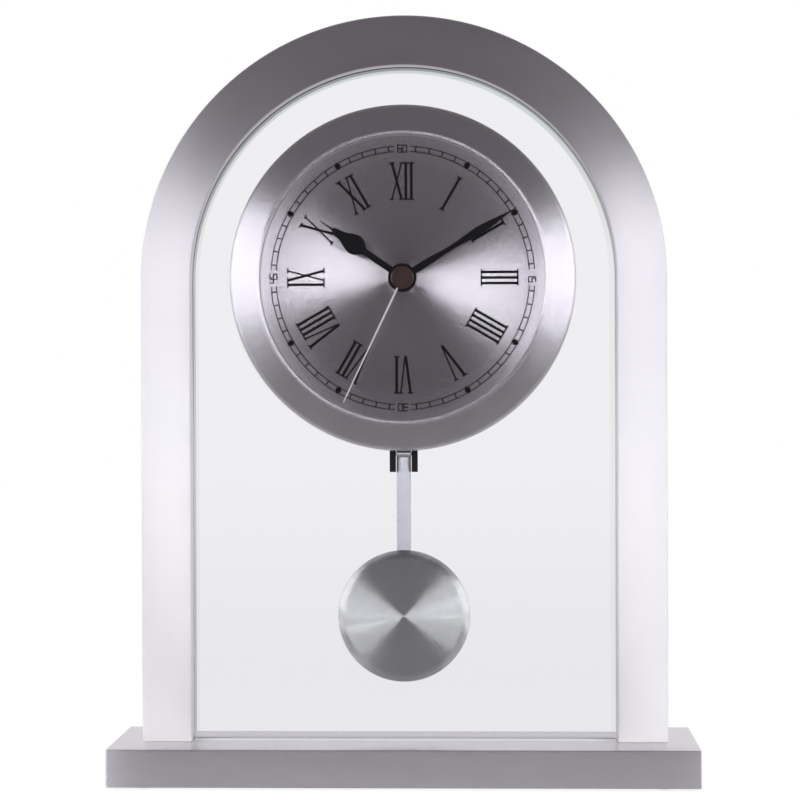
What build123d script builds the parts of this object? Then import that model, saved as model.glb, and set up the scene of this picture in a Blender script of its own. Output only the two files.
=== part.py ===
from build123d import *
import os
from math import cos, degrees, pi, radians, sin

# A pendulum clock for a desk: a round head and a hanging bob in front of an arched pane of glass.
# Millimetres, +Z up, the front faces -Y, the origin is at the middle of the underside.

# Stand, built outward from the clock head
base_overhang = 9.8
base_depth = 60.0
base_height = 12.8
base_skin = 0.8
base_corner_round = 0.5
base_edge_round = 0.3
core_play = 0.1
foot_height = 1.0
foot_radius = 6.0
foot_inset = 12.0
arch_gap = 13.9
arch_face_width = 17.2
arch_depth = 20.0
arch_bevel = 0.7
leg_screw_radius = 2.0
leg_screw_head_radius = 3.6
leg_screw_head_height = 2.2
leg_screw_grip = 12.0
leg_screw_recess = 0.6

# Glass
pane_thickness = 4.0
pane_setback = 5.0
hole_side_room = 13.5
groove_depth = 3.5
groove_play = 0.3
groove_side_play = 0.15
slot_depth = 6.0
gasket_wall = 0.5
gasket_proud = 0.5
gasket_play = 0.05

# Clock head, built forward from the front of the glass
head_opening_radius = 48.6
bezel_face_width = 10.5
head_edge_depth = 10.5
head_edge_round = 1.6
bezel_skirt = 1.5
bezel_play = 0.1
lip_width = 1.6
lip_thickness = 1.2
lip_round = 0.5
lip_step = 0.3
drum_depth = 4.7
dial_thickness = 0.5
spacer_height = 5.9
lens_thickness = 1.5
lens_lap = 0.8
lens_gasket_thickness = 0.2
cutout_play = 0.3
clamp_lap = 8.0
clamp_thickness = 1.2
clamp_gasket_thickness = 0.5
clamp_screw_inset = 3.0
clamp_screw_angle = 20.0
clamp_boss_radius = 2.4
clamp_screw_radius = 1.2
clamp_screw_head_radius = 2.2
clamp_screw_head_height = 1.3
clamp_screw_grip = 5.0

# Dial printing
print_thickness = 0.08
numeral_gap = 3.8
numeral_height = 12.8
numeral_step = 1.9
numeral_wide_step = 4.3
thick_stroke = 0.9
thin_stroke = 0.5
serif_thickness = 0.42
serif_overhang = 0.56
track_margin = 3.5
track_width = 1.8
track_line = 0.22
track_tick = 0.4
track_gap_angle = 3.6
diamond_length = 3.0
diamond_width = 2.3
digit_height = 2.4
digit_width = 1.3
digit_space = 0.45
digit_stroke = 0.32

# Hands, set to nine and a half minutes past ten
hour_angle = 304.8
minute_angle = 58.7
second_angle = 205.5
hour_hand_reach = 7.3
hour_hand_hub_radius = 4.2
hour_hand_waist = 2.2
hour_hand_spade = 6.9
minute_hand_reach = 0.4
minute_hand_hub_radius = 4.9
minute_hand_waist = 1.6
minute_hand_leaf = 2.9
second_hand_reach = 1.9
second_hand_root = 0.65
second_hand_tip = 0.4
hand_thickness = 0.3
hand_tip = 0.35
hand_boss_wall = 0.7
hand_boss_height = 0.5
hand_step = 1.0
cap_radius = 3.9
cap_height = 0.85
cap_dome = 0.45

# Movement case, measured from the clock's centre
contact_room = 2.3
case_top = 27.0
case_wall = 1.0
case_back_room = 1.95
cover_thickness = 1.0
train_floor = 11.0
battery_radius = 7.15
battery_length = 49.2
battery_nub_radius = 2.7
battery_nub_length = 1.2
battery_play = 0.3
battery_edge_round = 0.6
tail_half_width = 14.0
tail_bottom = 38.4
tail_depth = 11.7
coil_cover_thickness = 0.8
cover_post_radius = 2.2
cover_post_inset = 4.4
cover_screw_radius = 0.9
cover_screw_head_radius = 1.9
cover_screw_head_height = 1.0
cover_screw_grip = 5.0
contact_thickness = 0.3
contact_height = 6.0
contact_fold = 1.5

# Centre stack
arbor_radius = 0.5
pivot_play = 0.06
pivot_gap = 0.2
cannon_bore = 0.6
cannon_radius = 1.3
hour_pipe_bore = 1.4
hour_pipe_radius = 2.1
bush_bore = 2.2
bush_radius = 3.0
bush_stand = 2.2
washer_thickness = 0.3
washer_radius = 4.2
nut_thickness = 1.2
nut_across_flats = 7.6
thread_play = 0.04

# Wheels: modules and tooth counts
wheel_thickness = 0.75
wheel_gap = 0.3
hub_wall = 0.5
motion_module = 0.4
train_module = 0.25
cannon_teeth = 10
minute_wheel_teeth = 30
minute_pinion_teeth = 8
hour_wheel_teeth = 32
setting_teeth = 10
seconds_pinion_teeth = 8
third_wheel_teeth = 64
third_pinion_teeth = 8
centre_wheel_teeth = 60
seconds_wheel_teeth = 48
intermediate_pinion_teeth = 8
intermediate_wheel_teeth = 40
rotor_pinion_teeth = 8
minute_wheel_direction = 150.0
setting_direction = 100.0
third_wheel_direction = 20.0
intermediate_direction = 120.0
rotor_direction = 60.0
addendum_share = 0.85
dedendum_share = 1.25
tooth_root_share = 0.44
tooth_pitch_share = 0.36
tooth_tip_share = 0.1

# Train plates, motor and circuit
plate_left = 15.0
plate_right = 26.3
plate_low = 10.0
plate_high = 18.0
bridge_high = 15.0
pillar_radius = 1.8
pillar_inset = 2.0
bridge_screw_radius = 0.7
bridge_screw_head_radius = 1.5
bridge_screw_head_height = 0.8
bridge_screw_grip = 2.5
rotor_magnet_radius = 2.4
rotor_magnet_length = 1.8
stator_thickness = 1.0
stator_left = 5.0
stator_right = 20.0
stator_low = 7.5
stator_high = 22.0
stator_window_left = 5.0
stator_rail = 2.2
rotor_gap = 0.5
coil_length = 9.0
coil_wrap = 1.9
coil_play = 0.1
board_left = 0.0
board_right = 20.5
board_low = 9.5
board_high = 25.0
board_thickness = 0.8
board_post_radius = 1.5
board_post_height = 1.5
chip_radius = 2.6
chip_height = 1.0
chip_round = 0.8
crystal_radius = 1.2
crystal_length = 6.0

# Setting knob
knob_radius = 5.0
knob_height = 3.6
knob_ribs = 24
knob_rib_radius = 0.35
knob_gap = 0.3
setting_arbor_radius = 0.8

# Pendulum
pivot_drop = 31.2
pivot_pin_radius = 0.6
hanger_thickness = 2.0
hanger_boss_radius = 2.4
hanger_boss_thickness = 2.4
hanger_half_width = 2.2
glass_to_hanger = 1.2
swing_room = 4.6
slot_clearance = 0.8
yoke_rise = 6.5
yoke_height = 2.6
prong_show = 7.3
prong_span = 9.6
prong_width = 2.1
cross_pin_show = 1.1
cross_pin_radius = 0.55
eye_radius = 1.3
eye_side_play = 0.25
rod_edge_thickness = 0.35
rod_crown = 0.5
rod_back_offset = 0.45
rod_length = 55.6
bob_base_gap = 20.5
bob_radius = 22.6
bob_thickness = 2.6
bob_rim = 2.4
bob_rim_fall = 1.7
rim_out_share = 0.6
rim_fall_share = 0.36
socket_half_width = 4.5
socket_half_height = 5.5
socket_wall = 0.8
socket_play = 0.05
magnet_radius = 2.0
magnet_thickness = 1.2
magnet_drop = 4.4
drive_coil_radius = 3.0
drive_coil_bore = 1.2
drive_coil_length = 3.6

# Shares of a screw's head
cross_length_share = 0.7
cross_width_share = 0.16
head_round_share = 0.33

# One overrun serves every through cut
overrun = 1.0

# Turns, in degrees
full_turn = degrees(2 * pi)
half_turn = full_turn / 2
quarter_turn = full_turn / 4
hour_turn = full_turn / 12
minute_turn = full_turn / 60

# Places worked out from the sizes above
head_radius = head_opening_radius + bezel_face_width
arch_inner_radius = head_radius + arch_gap
arch_outer_radius = arch_inner_radius + arch_face_width
arch_front_y = -arch_depth / 2
base_width = 2 * (arch_outer_radius + base_overhang)
base_top = foot_height + base_height

yoke_drop = head_radius - yoke_rise
cross_pin_drop = head_radius + cross_pin_show
prong_bottom_drop = head_radius + prong_show
bob_drop = cross_pin_drop + rod_length
clock_z = base_top + bob_base_gap + bob_radius + bob_drop
slot_half_width = prong_span / 2 + swing_room

track_outer_radius = head_opening_radius - track_margin
track_inner_radius = track_outer_radius - track_width
numeral_inner_radius = track_inner_radius - numeral_gap - numeral_height
hour_hand_length = numeral_inner_radius + hour_hand_reach
minute_hand_length = track_outer_radius + minute_hand_reach
second_hand_length = track_outer_radius + second_hand_reach

case_half_width = (battery_length + battery_nub_length) / 2 + contact_room + case_wall
pane_hole_radius = case_half_width + hole_side_room
clamp_radius = pane_hole_radius + clamp_lap
clamp_screw_circle = pane_hole_radius - clamp_screw_inset
leg_centre_x = arch_outer_radius - arch_face_width / 2
pane_front_y = arch_front_y + pane_setback
pane_back_y = pane_front_y + pane_thickness
pane_half_width = arch_inner_radius + groove_depth - groove_play
pane_bottom = base_top - slot_depth + gasket_wall
gasket_half_depth = pane_thickness / 2 + gasket_play + gasket_wall
pane_middle_y = pane_front_y + pane_thickness / 2

dial_back_y = pane_front_y - drum_depth
dial_front_y = dial_back_y - dial_thickness
lens_back_y = dial_front_y - spacer_height
lens_front_y = lens_back_y - lens_thickness
lip_back_y = lens_front_y - lens_gasket_thickness
lip_front_y = lip_back_y - lip_thickness
bezel_edge_y = pane_front_y - head_edge_depth
lens_radius = head_opening_radius + lens_lap
pocket_radius = lens_radius + bezel_play
drum_radius = head_radius - bezel_skirt - bezel_play

case_front_y = dial_back_y
case_inner_y = case_front_y + case_wall
bay_top = -train_floor - case_wall
bay_bottom = bay_top - 2 * (battery_radius + battery_play)
case_bottom = bay_bottom - case_wall
bay_half_width = case_half_width - case_wall
battery_y = case_inner_y + battery_play + battery_radius
tail_back_y = case_front_y + tail_depth

hanger_back_y = pane_front_y - glass_to_hanger
hanger_front_y = hanger_back_y - hanger_thickness
hanger_y = hanger_back_y - hanger_thickness / 2
slot_front_y = hanger_front_y - slot_clearance

bush_front_y = dial_front_y - bush_stand
hour_hand_y = bush_front_y - wheel_gap
minute_hand_y = hour_hand_y - hand_step
second_hand_y = minute_hand_y - hand_step
wheel_pitch = wheel_thickness + wheel_gap


def wheel_level(number):
    """Front depth of one layer of wheels, counted back from the case's front wall."""
    return case_inner_y + wheel_gap / 2 + number * wheel_pitch


hour_level = wheel_level(0)
cannon_level = wheel_level(1)
centre_level = wheel_level(2)
third_level = wheel_level(3)
plate_level = wheel_level(4)
seconds_level = wheel_level(5)
intermediate_level = wheel_level(6)
rotor_level = wheel_level(7)
plate_back_y = plate_level + wheel_thickness
bridge_level = rotor_level + rotor_magnet_length + wheel_gap
bridge_back_y = bridge_level + wheel_thickness
stator_level = rotor_level + (rotor_magnet_length - stator_thickness) / 2
board_level = bridge_back_y + board_post_height
case_rim_y = board_level + board_thickness + 2 * crystal_radius + case_back_room
cover_back_y = case_rim_y + cover_thickness


# Shapes in the front view: x to the right, z up

def front_plane(y):
    return Plane(origin=(0, y, 0), x_dir=(1, 0, 0), z_dir=(0, -1, 0))


def slab(outline, y_front, y_back):
    """Thickens an outline drawn in x and z between two depths."""
    return extrude(front_plane(y_back) * outline, amount=y_back - y_front)


def disc(radius, y_front, y_back, x=0, z=0):
    return slab(Pos(x, z) * Circle(radius), y_front, y_back)


def tube(radius, bore, y_front, y_back, x=0, z=0):
    return slab(Pos(x, z) * (Circle(radius) - Circle(bore)), y_front, y_back)


def block(x_low, x_high, y_front, y_back, z_low, z_high):
    middle = Pos((x_low + x_high) / 2, (z_low + z_high) / 2)
    return slab(middle * Rectangle(x_high - x_low, z_high - z_low), y_front, y_back)


def polygon(points):
    return make_face(Polyline(*points, close=True))


def spun(section, z):
    """Turns a section drawn as (radius, y) about the line along y at a height."""
    return revolve(Pos(0, 0, z) * section, Axis((0, 0, z), (0, 1, 0)), full_turn)


def at_angle(outline, angle):
    """Turns an outline clockwise from twelve and carries it to the clock's centre."""
    return Pos(0, clock_z) * Rot(0, 0, -angle) * outline


def along_x(radius, x_low, x_high, y, z):
    """A round bar along x."""
    return Plane(origin=(x_low, y, z), z_dir=(1, 0, 0)) * extrude(Circle(radius), amount=x_high - x_low)


def save(name, shape):
    shape.label = name
    export_step(shape, "parts/" + name + ".step")


def group(solids):
    return Compound(children=list(solids))


# Base and feet

def make_base_cover():
    outer = block(-base_width / 2, base_width / 2, -base_depth / 2, base_depth / 2, foot_height, base_top)
    outer = fillet(outer.edges().filter_by(Axis.Z), base_corner_round)
    outer = fillet(outer.faces().sort_by(Axis.Z)[-1].edges(), base_edge_round)
    half_width = base_width / 2 - base_skin
    half_depth = base_depth / 2 - base_skin
    hollow = block(-half_width, half_width, -half_depth, half_depth,
                   foot_height - overrun, base_top - base_skin)
    return outer - hollow - pane_slot() - leg_screw_holes(leg_screw_radius + 2 * thread_play)


def pane_slot():
    half_depth = gasket_half_depth + gasket_play
    half_width = pane_half_width + groove_play
    return block(-half_width, half_width, pane_middle_y - half_depth, pane_middle_y + half_depth,
                 base_top - slot_depth, base_top + overrun)


def upright(radius, x, z_low, z_high, y=0):
    return Pos(x, y, z_low) * extrude(Circle(radius), amount=z_high - z_low)


def leg_screw_holes(radius):
    low = foot_height - overrun
    high = base_top + overrun
    return upright(radius, leg_centre_x, low, high) + upright(radius, -leg_centre_x, low, high)


def make_base_core():
    half_width = base_width / 2 - base_skin - core_play
    half_depth = base_depth / 2 - base_skin - core_play
    core = block(-half_width, half_width, -half_depth, half_depth, foot_height, base_top - base_skin)
    core -= pane_slot() + leg_screw_holes(leg_screw_radius + 2 * thread_play)
    for side in (-1, 1):
        recess_top = foot_height + leg_screw_recess + leg_screw_head_height
        radius = leg_screw_head_radius + core_play
        core -= upright(radius, side * leg_centre_x, foot_height - overrun, recess_top)
    return core


def make_foot_pads():
    places = [(sx * (base_width / 2 - foot_inset), sy * (base_depth / 2 - foot_inset))
              for sx in (-1, 1) for sy in (-1, 1)]
    return group(upright(foot_radius, x, 0, foot_height, y) for x, y in places)


def make_leg_screws():
    screws = []
    for side in (-1, 1):
        x = side * leg_centre_x
        head_low = foot_height + leg_screw_recess
        head_high = head_low + leg_screw_head_height
        head = upright(leg_screw_head_radius, x, head_low, head_high)
        hexagon = RegularPolygon(leg_screw_radius, 6)
        socket = Pos(x, 0, head_low) * extrude(hexagon, amount=leg_screw_head_height / 2)
        screws.append(head + upright(leg_screw_radius, x, head_high, base_top + leg_screw_grip) - socket)
    return group(screws)


# Arch and glass

def arch_outline(half_width, z_low):
    legs = Pos(0, (z_low + clock_z) / 2) * Rectangle(2 * half_width, clock_z - z_low)
    return legs + Pos(0, clock_z) * Circle(half_width)


def make_arch_frame():
    band = arch_outline(arch_outer_radius, base_top) - arch_outline(arch_inner_radius, base_top)
    arch = slab(band, arch_front_y, -arch_front_y)
    for face in (arch.faces().sort_by(Axis.Y)[0], arch.faces().sort_by(Axis.Y)[-1]):
        rims = [edge for edge in face.edges() if edge.center().Z > base_top + arch_bevel]
        arch = chamfer(rims, arch_bevel)
    groove = arch_outline(arch_inner_radius + groove_depth, base_top)
    arch -= slab(groove, pane_front_y - groove_side_play, pane_back_y + groove_side_play)
    for side in (-1, 1):
        depth = base_top + leg_screw_grip + overrun
        arch -= upright(leg_screw_radius + thread_play, side * leg_centre_x, base_top - overrun, depth)
    return arch


def make_glass_pane():
    outline = arch_outline(pane_half_width, pane_bottom) - Pos(0, clock_z) * Circle(pane_hole_radius)
    return slab(outline, pane_front_y, pane_back_y)


def make_pane_gasket():
    half_width = arch_inner_radius - groove_play
    bottom = base_top - slot_depth
    front = pane_middle_y - gasket_half_depth
    back = pane_middle_y + gasket_half_depth
    channel = block(-half_width, half_width, front, back, bottom, base_top + gasket_proud)
    inside = block(-half_width - overrun, half_width + overrun, front + gasket_wall, back - gasket_wall,
                   pane_bottom, base_top + gasket_proud + overrun)
    return channel - inside


# Clock head

def make_bezel_ring():
    rise = lip_front_y + lip_round
    lip_outer = head_opening_radius + lip_width
    edge_corner = head_edge_round * (1 - cos(radians(quarter_turn / 2)))
    pieces = [
        Polyline((head_radius, pane_front_y), (head_radius, bezel_edge_y + head_edge_round)),
        ThreePointArc((head_radius, bezel_edge_y + head_edge_round),
                      (head_radius - edge_corner, bezel_edge_y + edge_corner),
                      (head_radius - head_edge_round, bezel_edge_y)),
        Polyline((head_radius - head_edge_round, bezel_edge_y),
                 (lip_outer, rise + lip_step), (lip_outer, rise)),
        ThreePointArc((lip_outer, rise), (lip_outer - lip_width / 2, lip_front_y),
                      (head_opening_radius, rise)),
        Polyline((head_opening_radius, rise), (head_opening_radius, lip_back_y), (pocket_radius, lip_back_y),
                 (pocket_radius, dial_back_y), (drum_radius + bezel_play, dial_back_y),
                 (drum_radius + bezel_play, pane_front_y), (head_radius, pane_front_y)),
    ]
    return spun(make_face(pieces), clock_z) - hanger_slot()


def hanger_slot():
    """The way out of the head for the pendulum's hanger, below the centre."""
    return block(-slot_half_width, slot_half_width, slot_front_y, pane_front_y + overrun,
                 clock_z - head_radius - overrun, clock_z - tail_bottom)


def movement_outline(play):
    """The movement case seen from the front, with room all round."""
    low = case_bottom - play
    high = case_top + play
    body = Pos(0, clock_z + (low + high) / 2) * Rectangle(2 * (case_half_width + play), high - low)
    tail_low = -tail_bottom - play
    tail = Pos(0, clock_z + (tail_low + low) / 2) * Rectangle(2 * (tail_half_width + play), low - tail_low)
    return body + tail


def clamp_screw_places():
    places = []
    for sx in (-1, 1):
        for sz in (-1, 1):
            x = sx * clamp_screw_circle * cos(radians(clamp_screw_angle))
            z = sz * clamp_screw_circle * sin(radians(clamp_screw_angle))
            places.append((x, clock_z + z))
    return places


def make_drum_body():
    drum = disc(drum_radius, dial_back_y, pane_front_y, 0, clock_z)
    drum -= slab(movement_outline(cutout_play), dial_back_y - overrun, pane_front_y + overrun)
    drum -= hanger_slot()
    for x, z in clamp_screw_places():
        drum += disc(clamp_boss_radius, pane_front_y - overrun, pane_back_y, x, z)
        drum -= disc(clamp_screw_radius + thread_play, pane_back_y - clamp_screw_grip,
                     pane_back_y + overrun, x, z)
    return drum


def make_lens_gasket():
    return tube(lens_radius, head_opening_radius, lip_back_y, lens_front_y, 0, clock_z)


def make_lens_glass():
    return disc(lens_radius, lens_front_y, lens_back_y, 0, clock_z)


def make_dial_spacer():
    return tube(lens_radius, head_opening_radius, lens_back_y, dial_front_y, 0, clock_z)


def make_dial_plate():
    return tube(lens_radius, bush_radius + bezel_play, dial_front_y, dial_back_y, 0, clock_z)


def make_clamp_gasket():
    ring = Pos(0, clock_z) * (Circle(clamp_radius) - Circle(pane_hole_radius + bezel_play))
    return slab(ring, pane_back_y, pane_back_y + clamp_gasket_thickness)


def make_clamp_plate():
    front = pane_back_y + clamp_gasket_thickness
    back = front + clamp_thickness
    plate = disc(clamp_radius, front, back, 0, clock_z)
    plate -= slab(movement_outline(cutout_play), front - overrun, back + overrun)
    for x, z in clamp_screw_places():
        plate -= disc(clamp_screw_radius + bezel_play, front - overrun, back + overrun, x, z)
    return plate


def machine_screw(x, z, seat_y, radius, head_radius, head_height, grip):
    """A cross-slotted pan head screw that points forward from its seat."""
    head = disc(head_radius, seat_y, seat_y + head_height, x, z)
    head = fillet(head.faces().sort_by(Axis.Y)[-1].edges(), head_height * head_round_share)
    slot_front = seat_y + head_height / 2
    slot_back = seat_y + head_height + overrun
    long = head_radius * cross_length_share
    short = head_radius * cross_width_share
    for half_x, half_z in ((long, short), (short, long)):
        head -= block(x - half_x, x + half_x, slot_front, slot_back, z - half_z, z + half_z)
    return head + disc(radius, seat_y - grip, seat_y, x, z)


def make_clamp_screws():
    seat = pane_back_y + clamp_gasket_thickness + clamp_thickness
    return group(machine_screw(x, z, seat, clamp_screw_radius, clamp_screw_head_radius,
                               clamp_screw_head_height, clamp_screw_grip) for x, z in clamp_screw_places())


# Dial printing

def bar(x_low, y_low, x_high, y_high, width):
    """A straight stroke of one width whose ends are cut level."""
    half = width / 2
    foot = [(x_low - half, y_low), (x_low + half, y_low)]
    head = [(x_high + half, y_high), (x_high - half, y_high)]
    return polygon(foot + head)


def serif(x, y, stroke):
    """A flat foot at one end of a stroke, inside the letter's height."""
    y = y + serif_thickness / 2 if y == 0 else y - serif_thickness / 2
    return Pos(x, y) * Rectangle(stroke + 2 * serif_overhang, serif_thickness)


def letter_i(x):
    strokes = [bar(x, 0, x, numeral_height, thick_stroke)]
    return strokes + [serif(x, 0, thick_stroke), serif(x, numeral_height, thick_stroke)]


def letter_v(x):
    half = numeral_wide_step / 2 - thick_stroke / 2
    foot = (thick_stroke - thin_stroke) / 2
    strokes = [bar(x, 0, x - half, numeral_height, thick_stroke)]
    strokes.append(bar(x + foot, 0, x + half, numeral_height, thin_stroke))
    strokes.append(serif(x - half, numeral_height, thick_stroke))
    return strokes + [serif(x + half, numeral_height, thin_stroke)]


def letter_x(x):
    half = numeral_wide_step / 2 - thick_stroke / 2
    strokes = [bar(x + half, 0, x - half, numeral_height, thick_stroke)]
    strokes.append(bar(x - half, 0, x + half, numeral_height, thin_stroke))
    ends = [(half, 0, thick_stroke), (-half, numeral_height, thick_stroke)]
    ends += [(-half, 0, thin_stroke), (half, numeral_height, thin_stroke)]
    return strokes + [serif(x + end, y, stroke) for end, y, stroke in ends]


letters = {
    "I": (letter_i, numeral_step),
    "V": (letter_v, numeral_wide_step),
    "X": (letter_x, numeral_wide_step),
}
hour_words = ("XII", "I", "II", "III", "IIII", "V", "VI", "VII", "VIII", "IX", "X", "XI")


def numeral(word):
    width = sum(letters[letter][1] for letter in word)
    x = -width / 2
    shapes = []
    for letter in word:
        draw, step = letters[letter]
        shapes += draw(x + step / 2)
        x += step
    return Pos(0, numeral_inner_radius) * Sketch(children=fused(shapes))


def fused(shapes):
    joined = shapes[0]
    for shape in shapes[1:]:
        joined = joined + shape
    return joined.faces()


def printed(outlines):
    """Ink on the front of the dial, one solid for each separate mark."""
    solids = []
    for outline in outlines:
        for face in outline.faces():
            solids += slab(face, dial_front_y - print_thickness, dial_front_y).solids()
    return group(solids)


def make_dial_numerals():
    return printed(at_angle(numeral(word), hour_turn * hour) for hour, word in enumerate(hour_words))


def track_line_arc(radius, from_angle, to_angle):
    """One thin arc of the minute track, between two clock angles."""
    low = radius - track_line / 2
    high = radius + track_line / 2
    middle = (from_angle + to_angle) / 2

    def place(distance, angle):
        return (distance * sin(radians(angle)), distance * cos(radians(angle)))

    pieces = [
        ThreePointArc(place(high, from_angle), place(high, middle), place(high, to_angle)),
        Polyline(place(high, to_angle), place(low, to_angle)),
        ThreePointArc(place(low, to_angle), place(low, middle), place(low, from_angle)),
        Polyline(place(low, from_angle), place(high, from_angle)),
    ]
    return make_face(pieces)


def make_minute_track():
    quarters = []
    track_middle = (track_outer_radius + track_inner_radius) / 2
    diamond = polygon([(0, -diamond_length / 2), (diamond_width / 2, 0),
                       (0, diamond_length / 2), (-diamond_width / 2, 0)])
    for quarter in range(4):
        start = quarter_turn * quarter + track_gap_angle
        end = quarter_turn * (quarter + 1) - track_gap_angle
        joined = track_line_arc(track_outer_radius, start, end)
        joined += track_line_arc(track_inner_radius, start, end)
        for minute in range(1, 15):
            mark = diamond if minute % 5 == 0 else Rectangle(track_tick, track_width)
            joined += Rot(0, 0, -quarter_turn * quarter - minute_turn * minute) * Pos(0, track_middle) * mark
        quarters.append(Pos(0, clock_z) * joined)
    return printed(quarters)


# Strokes of the small figures, as shares of their width and height
figure_corner_shares = {"top left": (0, 1), "top right": (1, 1), "left": (0, 0.5),
                        "right": (1, 0.5), "low left": (0, 0), "low right": (1, 0)}
figure_strokes = {
    "0": (("top left", "top right"), ("top left", "low left"), ("top right", "low right"),
          ("low left", "low right")),
    "1": (("top right", "low right"),),
    "3": (("top left", "top right"), ("top right", "low right"), ("left", "right"),
          ("low left", "low right")),
    "4": (("top left", "left"), ("left", "right"), ("top right", "low right")),
    "5": (("top left", "top right"), ("top left", "left"), ("left", "right"), ("right", "low right"),
          ("low left", "low right")),
    "6": (("top left", "top right"), ("top left", "low left"), ("left", "right"), ("right", "low right"),
          ("low left", "low right")),
}


def figure(character, x):
    shapes = []
    for start, end in figure_strokes[character]:
        x_one, y_one = figure_corner_shares[start]
        x_two, y_two = figure_corner_shares[end]
        centre = Pos(x + digit_width * (x_one + x_two) / 2, digit_height * (y_one + y_two - 1) / 2)
        width = digit_width * abs(x_two - x_one) + digit_stroke
        height = digit_height * abs(y_two - y_one) + digit_stroke
        shapes.append(centre * Rectangle(width, height))
    return Sketch(children=fused(shapes))


def make_track_figures():
    track_middle = (track_outer_radius + track_inner_radius) / 2
    outlines = []
    for quarter, word in enumerate(("60", "15", "30", "45")):
        lefts = (-digit_width - digit_space / 2, digit_space / 2)
        for character, x in zip(word, lefts):
            outlines.append(at_angle(Pos(0, track_middle) * figure(character, x), quarter_turn * quarter))
    return printed(outlines)


# Hands

def hand_outline(stations, hub_radius):
    """A hand that points up: a straight root, then half widths at distances, mirrored and splined."""
    right = [(half, distance) for distance, half in stations]
    left = [(-half, distance) for distance, half in stations]
    pieces = [
        Polyline(left[1], left[0], right[0], right[1]),
        Spline(*right[1:], tangents=[(0, 1), (0, 1)]),
        Polyline(right[-1], left[-1]),
        Spline(*left[1:], tangents=[(0, 1), (0, 1)]),
    ]
    return make_face(pieces) + Circle(hub_radius)


def hand(outline, angle, y, pipe_radius):
    """A flat hand with a boss that is pressed onto its pipe."""
    blade = slab(at_angle(outline, angle), y - hand_thickness, y)
    boss = disc(pipe_radius + hand_boss_wall, y - hand_boss_height, y, 0, clock_z)
    bore = disc(pipe_radius + thread_play, y - hand_boss_height - overrun, y + overrun, 0, clock_z)
    return blade + boss - bore


# The spade and the leaf: shares of the hand's length, and of its half width there
spade_shares = ((0.0, 0.0), (0.44, 0.0), (0.475, 0.17), (0.53, 0.8), (0.595, 1.0), (0.655, 0.76), (0.73, 0.25),
                (0.85, -0.08))
leaf_shares = ((0.0, 0.7), (0.22, 0.62), (0.32, 0.22), (0.42, 0.0), (0.54, 0.35), (0.67, 1.0), (0.78, 0.42))


def stations(length, waist, widest, shares):
    rows = [(length * along, (waist + (widest - waist) * share) / 2) for along, share in shares]
    return rows + [(length, hand_tip / 2)]


def make_hour_hand():
    outline = hand_outline(stations(hour_hand_length, hour_hand_waist, hour_hand_spade, spade_shares),
                           hour_hand_hub_radius)
    return hand(outline, hour_angle, hour_hand_y, hour_pipe_radius)


def make_minute_hand():
    outline = hand_outline(stations(minute_hand_length, minute_hand_waist, minute_hand_leaf, leaf_shares),
                           minute_hand_hub_radius)
    return hand(outline, minute_angle, minute_hand_y, cannon_radius)


def make_second_hand():
    outline = polygon([(-second_hand_root / 2, 0), (second_hand_root / 2, 0),
                       (second_hand_tip / 2, second_hand_length), (-second_hand_tip / 2, second_hand_length)])
    blade = slab(at_angle(outline + Circle(arbor_radius + hand_boss_wall), second_angle),
                 second_hand_y - hand_thickness, second_hand_y)
    bore = arbor(centre_place, second_hand_y - hand_step, second_hand_y + overrun, arbor_radius + thread_play)
    return blade - bore


def make_hand_cap():
    """A domed cap that hides the end of the seconds arbor."""
    back = second_hand_y - hand_thickness
    cap = disc(cap_radius, back - cap_height, back, 0, clock_z)
    cap = fillet(cap.faces().sort_by(Axis.Y)[0].edges(), cap_dome)
    return cap - disc(arbor_radius + thread_play, back - hand_thickness, back + overrun, 0, clock_z)


# Wheels

def tooth_place(radius, angle):
    return (radius * cos(radians(angle)), radius * sin(radians(angle)))


def gear_outline(teeth, module, phase):
    """A toothed wheel whose first tooth points along phase, in degrees from +x."""
    pitch_radius = module * teeth / 2
    root = pitch_radius - dedendum_share * module
    tip = pitch_radius + addendum_share * module
    step = full_turn / teeth
    points = []
    for tooth in range(teeth):
        centre = phase + tooth * step
        flanks = ((root, tooth_root_share), (pitch_radius, tooth_pitch_share), (tip, tooth_tip_share))
        points += [tooth_place(radius, centre - step * share / 2) for radius, share in flanks]
        points += [tooth_place(radius, centre + step * share / 2) for radius, share in reversed(flanks)]
    return polygon(points)


def meshed_phase(teeth, phase, direction, other_teeth):
    """The phase of a wheel that meshes with one of a known phase, which lies back along direction."""
    turned = (phase - direction) * teeth / other_teeth
    return direction + half_turn - turned + half_turn / other_teeth


def step_from(place, distance, direction):
    x, z = tooth_place(distance, direction)
    return (place[0] + x, place[1] + z)


def gear_distance(module, teeth, other_teeth):
    return module * (teeth + other_teeth) / 2


centre_place = (0, clock_z)
minute_wheel_distance = gear_distance(motion_module, cannon_teeth, minute_wheel_teeth)
minute_wheel_place = step_from(centre_place, minute_wheel_distance, minute_wheel_direction)
setting_distance = gear_distance(motion_module, minute_wheel_teeth, setting_teeth)
setting_place = step_from(minute_wheel_place, setting_distance, setting_direction)
third_distance = gear_distance(train_module, seconds_pinion_teeth, third_wheel_teeth)
third_place = step_from(centre_place, third_distance, third_wheel_direction)
centre_wheel_module = 2 * third_distance / (third_pinion_teeth + centre_wheel_teeth)
hour_wheel_module = 2 * minute_wheel_distance / (minute_pinion_teeth + hour_wheel_teeth)
intermediate_distance = gear_distance(train_module, intermediate_pinion_teeth, seconds_wheel_teeth)
intermediate_place = step_from(centre_place, intermediate_distance, intermediate_direction)
rotor_distance = gear_distance(train_module, intermediate_wheel_teeth, rotor_pinion_teeth)
rotor_place = step_from(intermediate_place, rotor_distance, rotor_direction)

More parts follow.
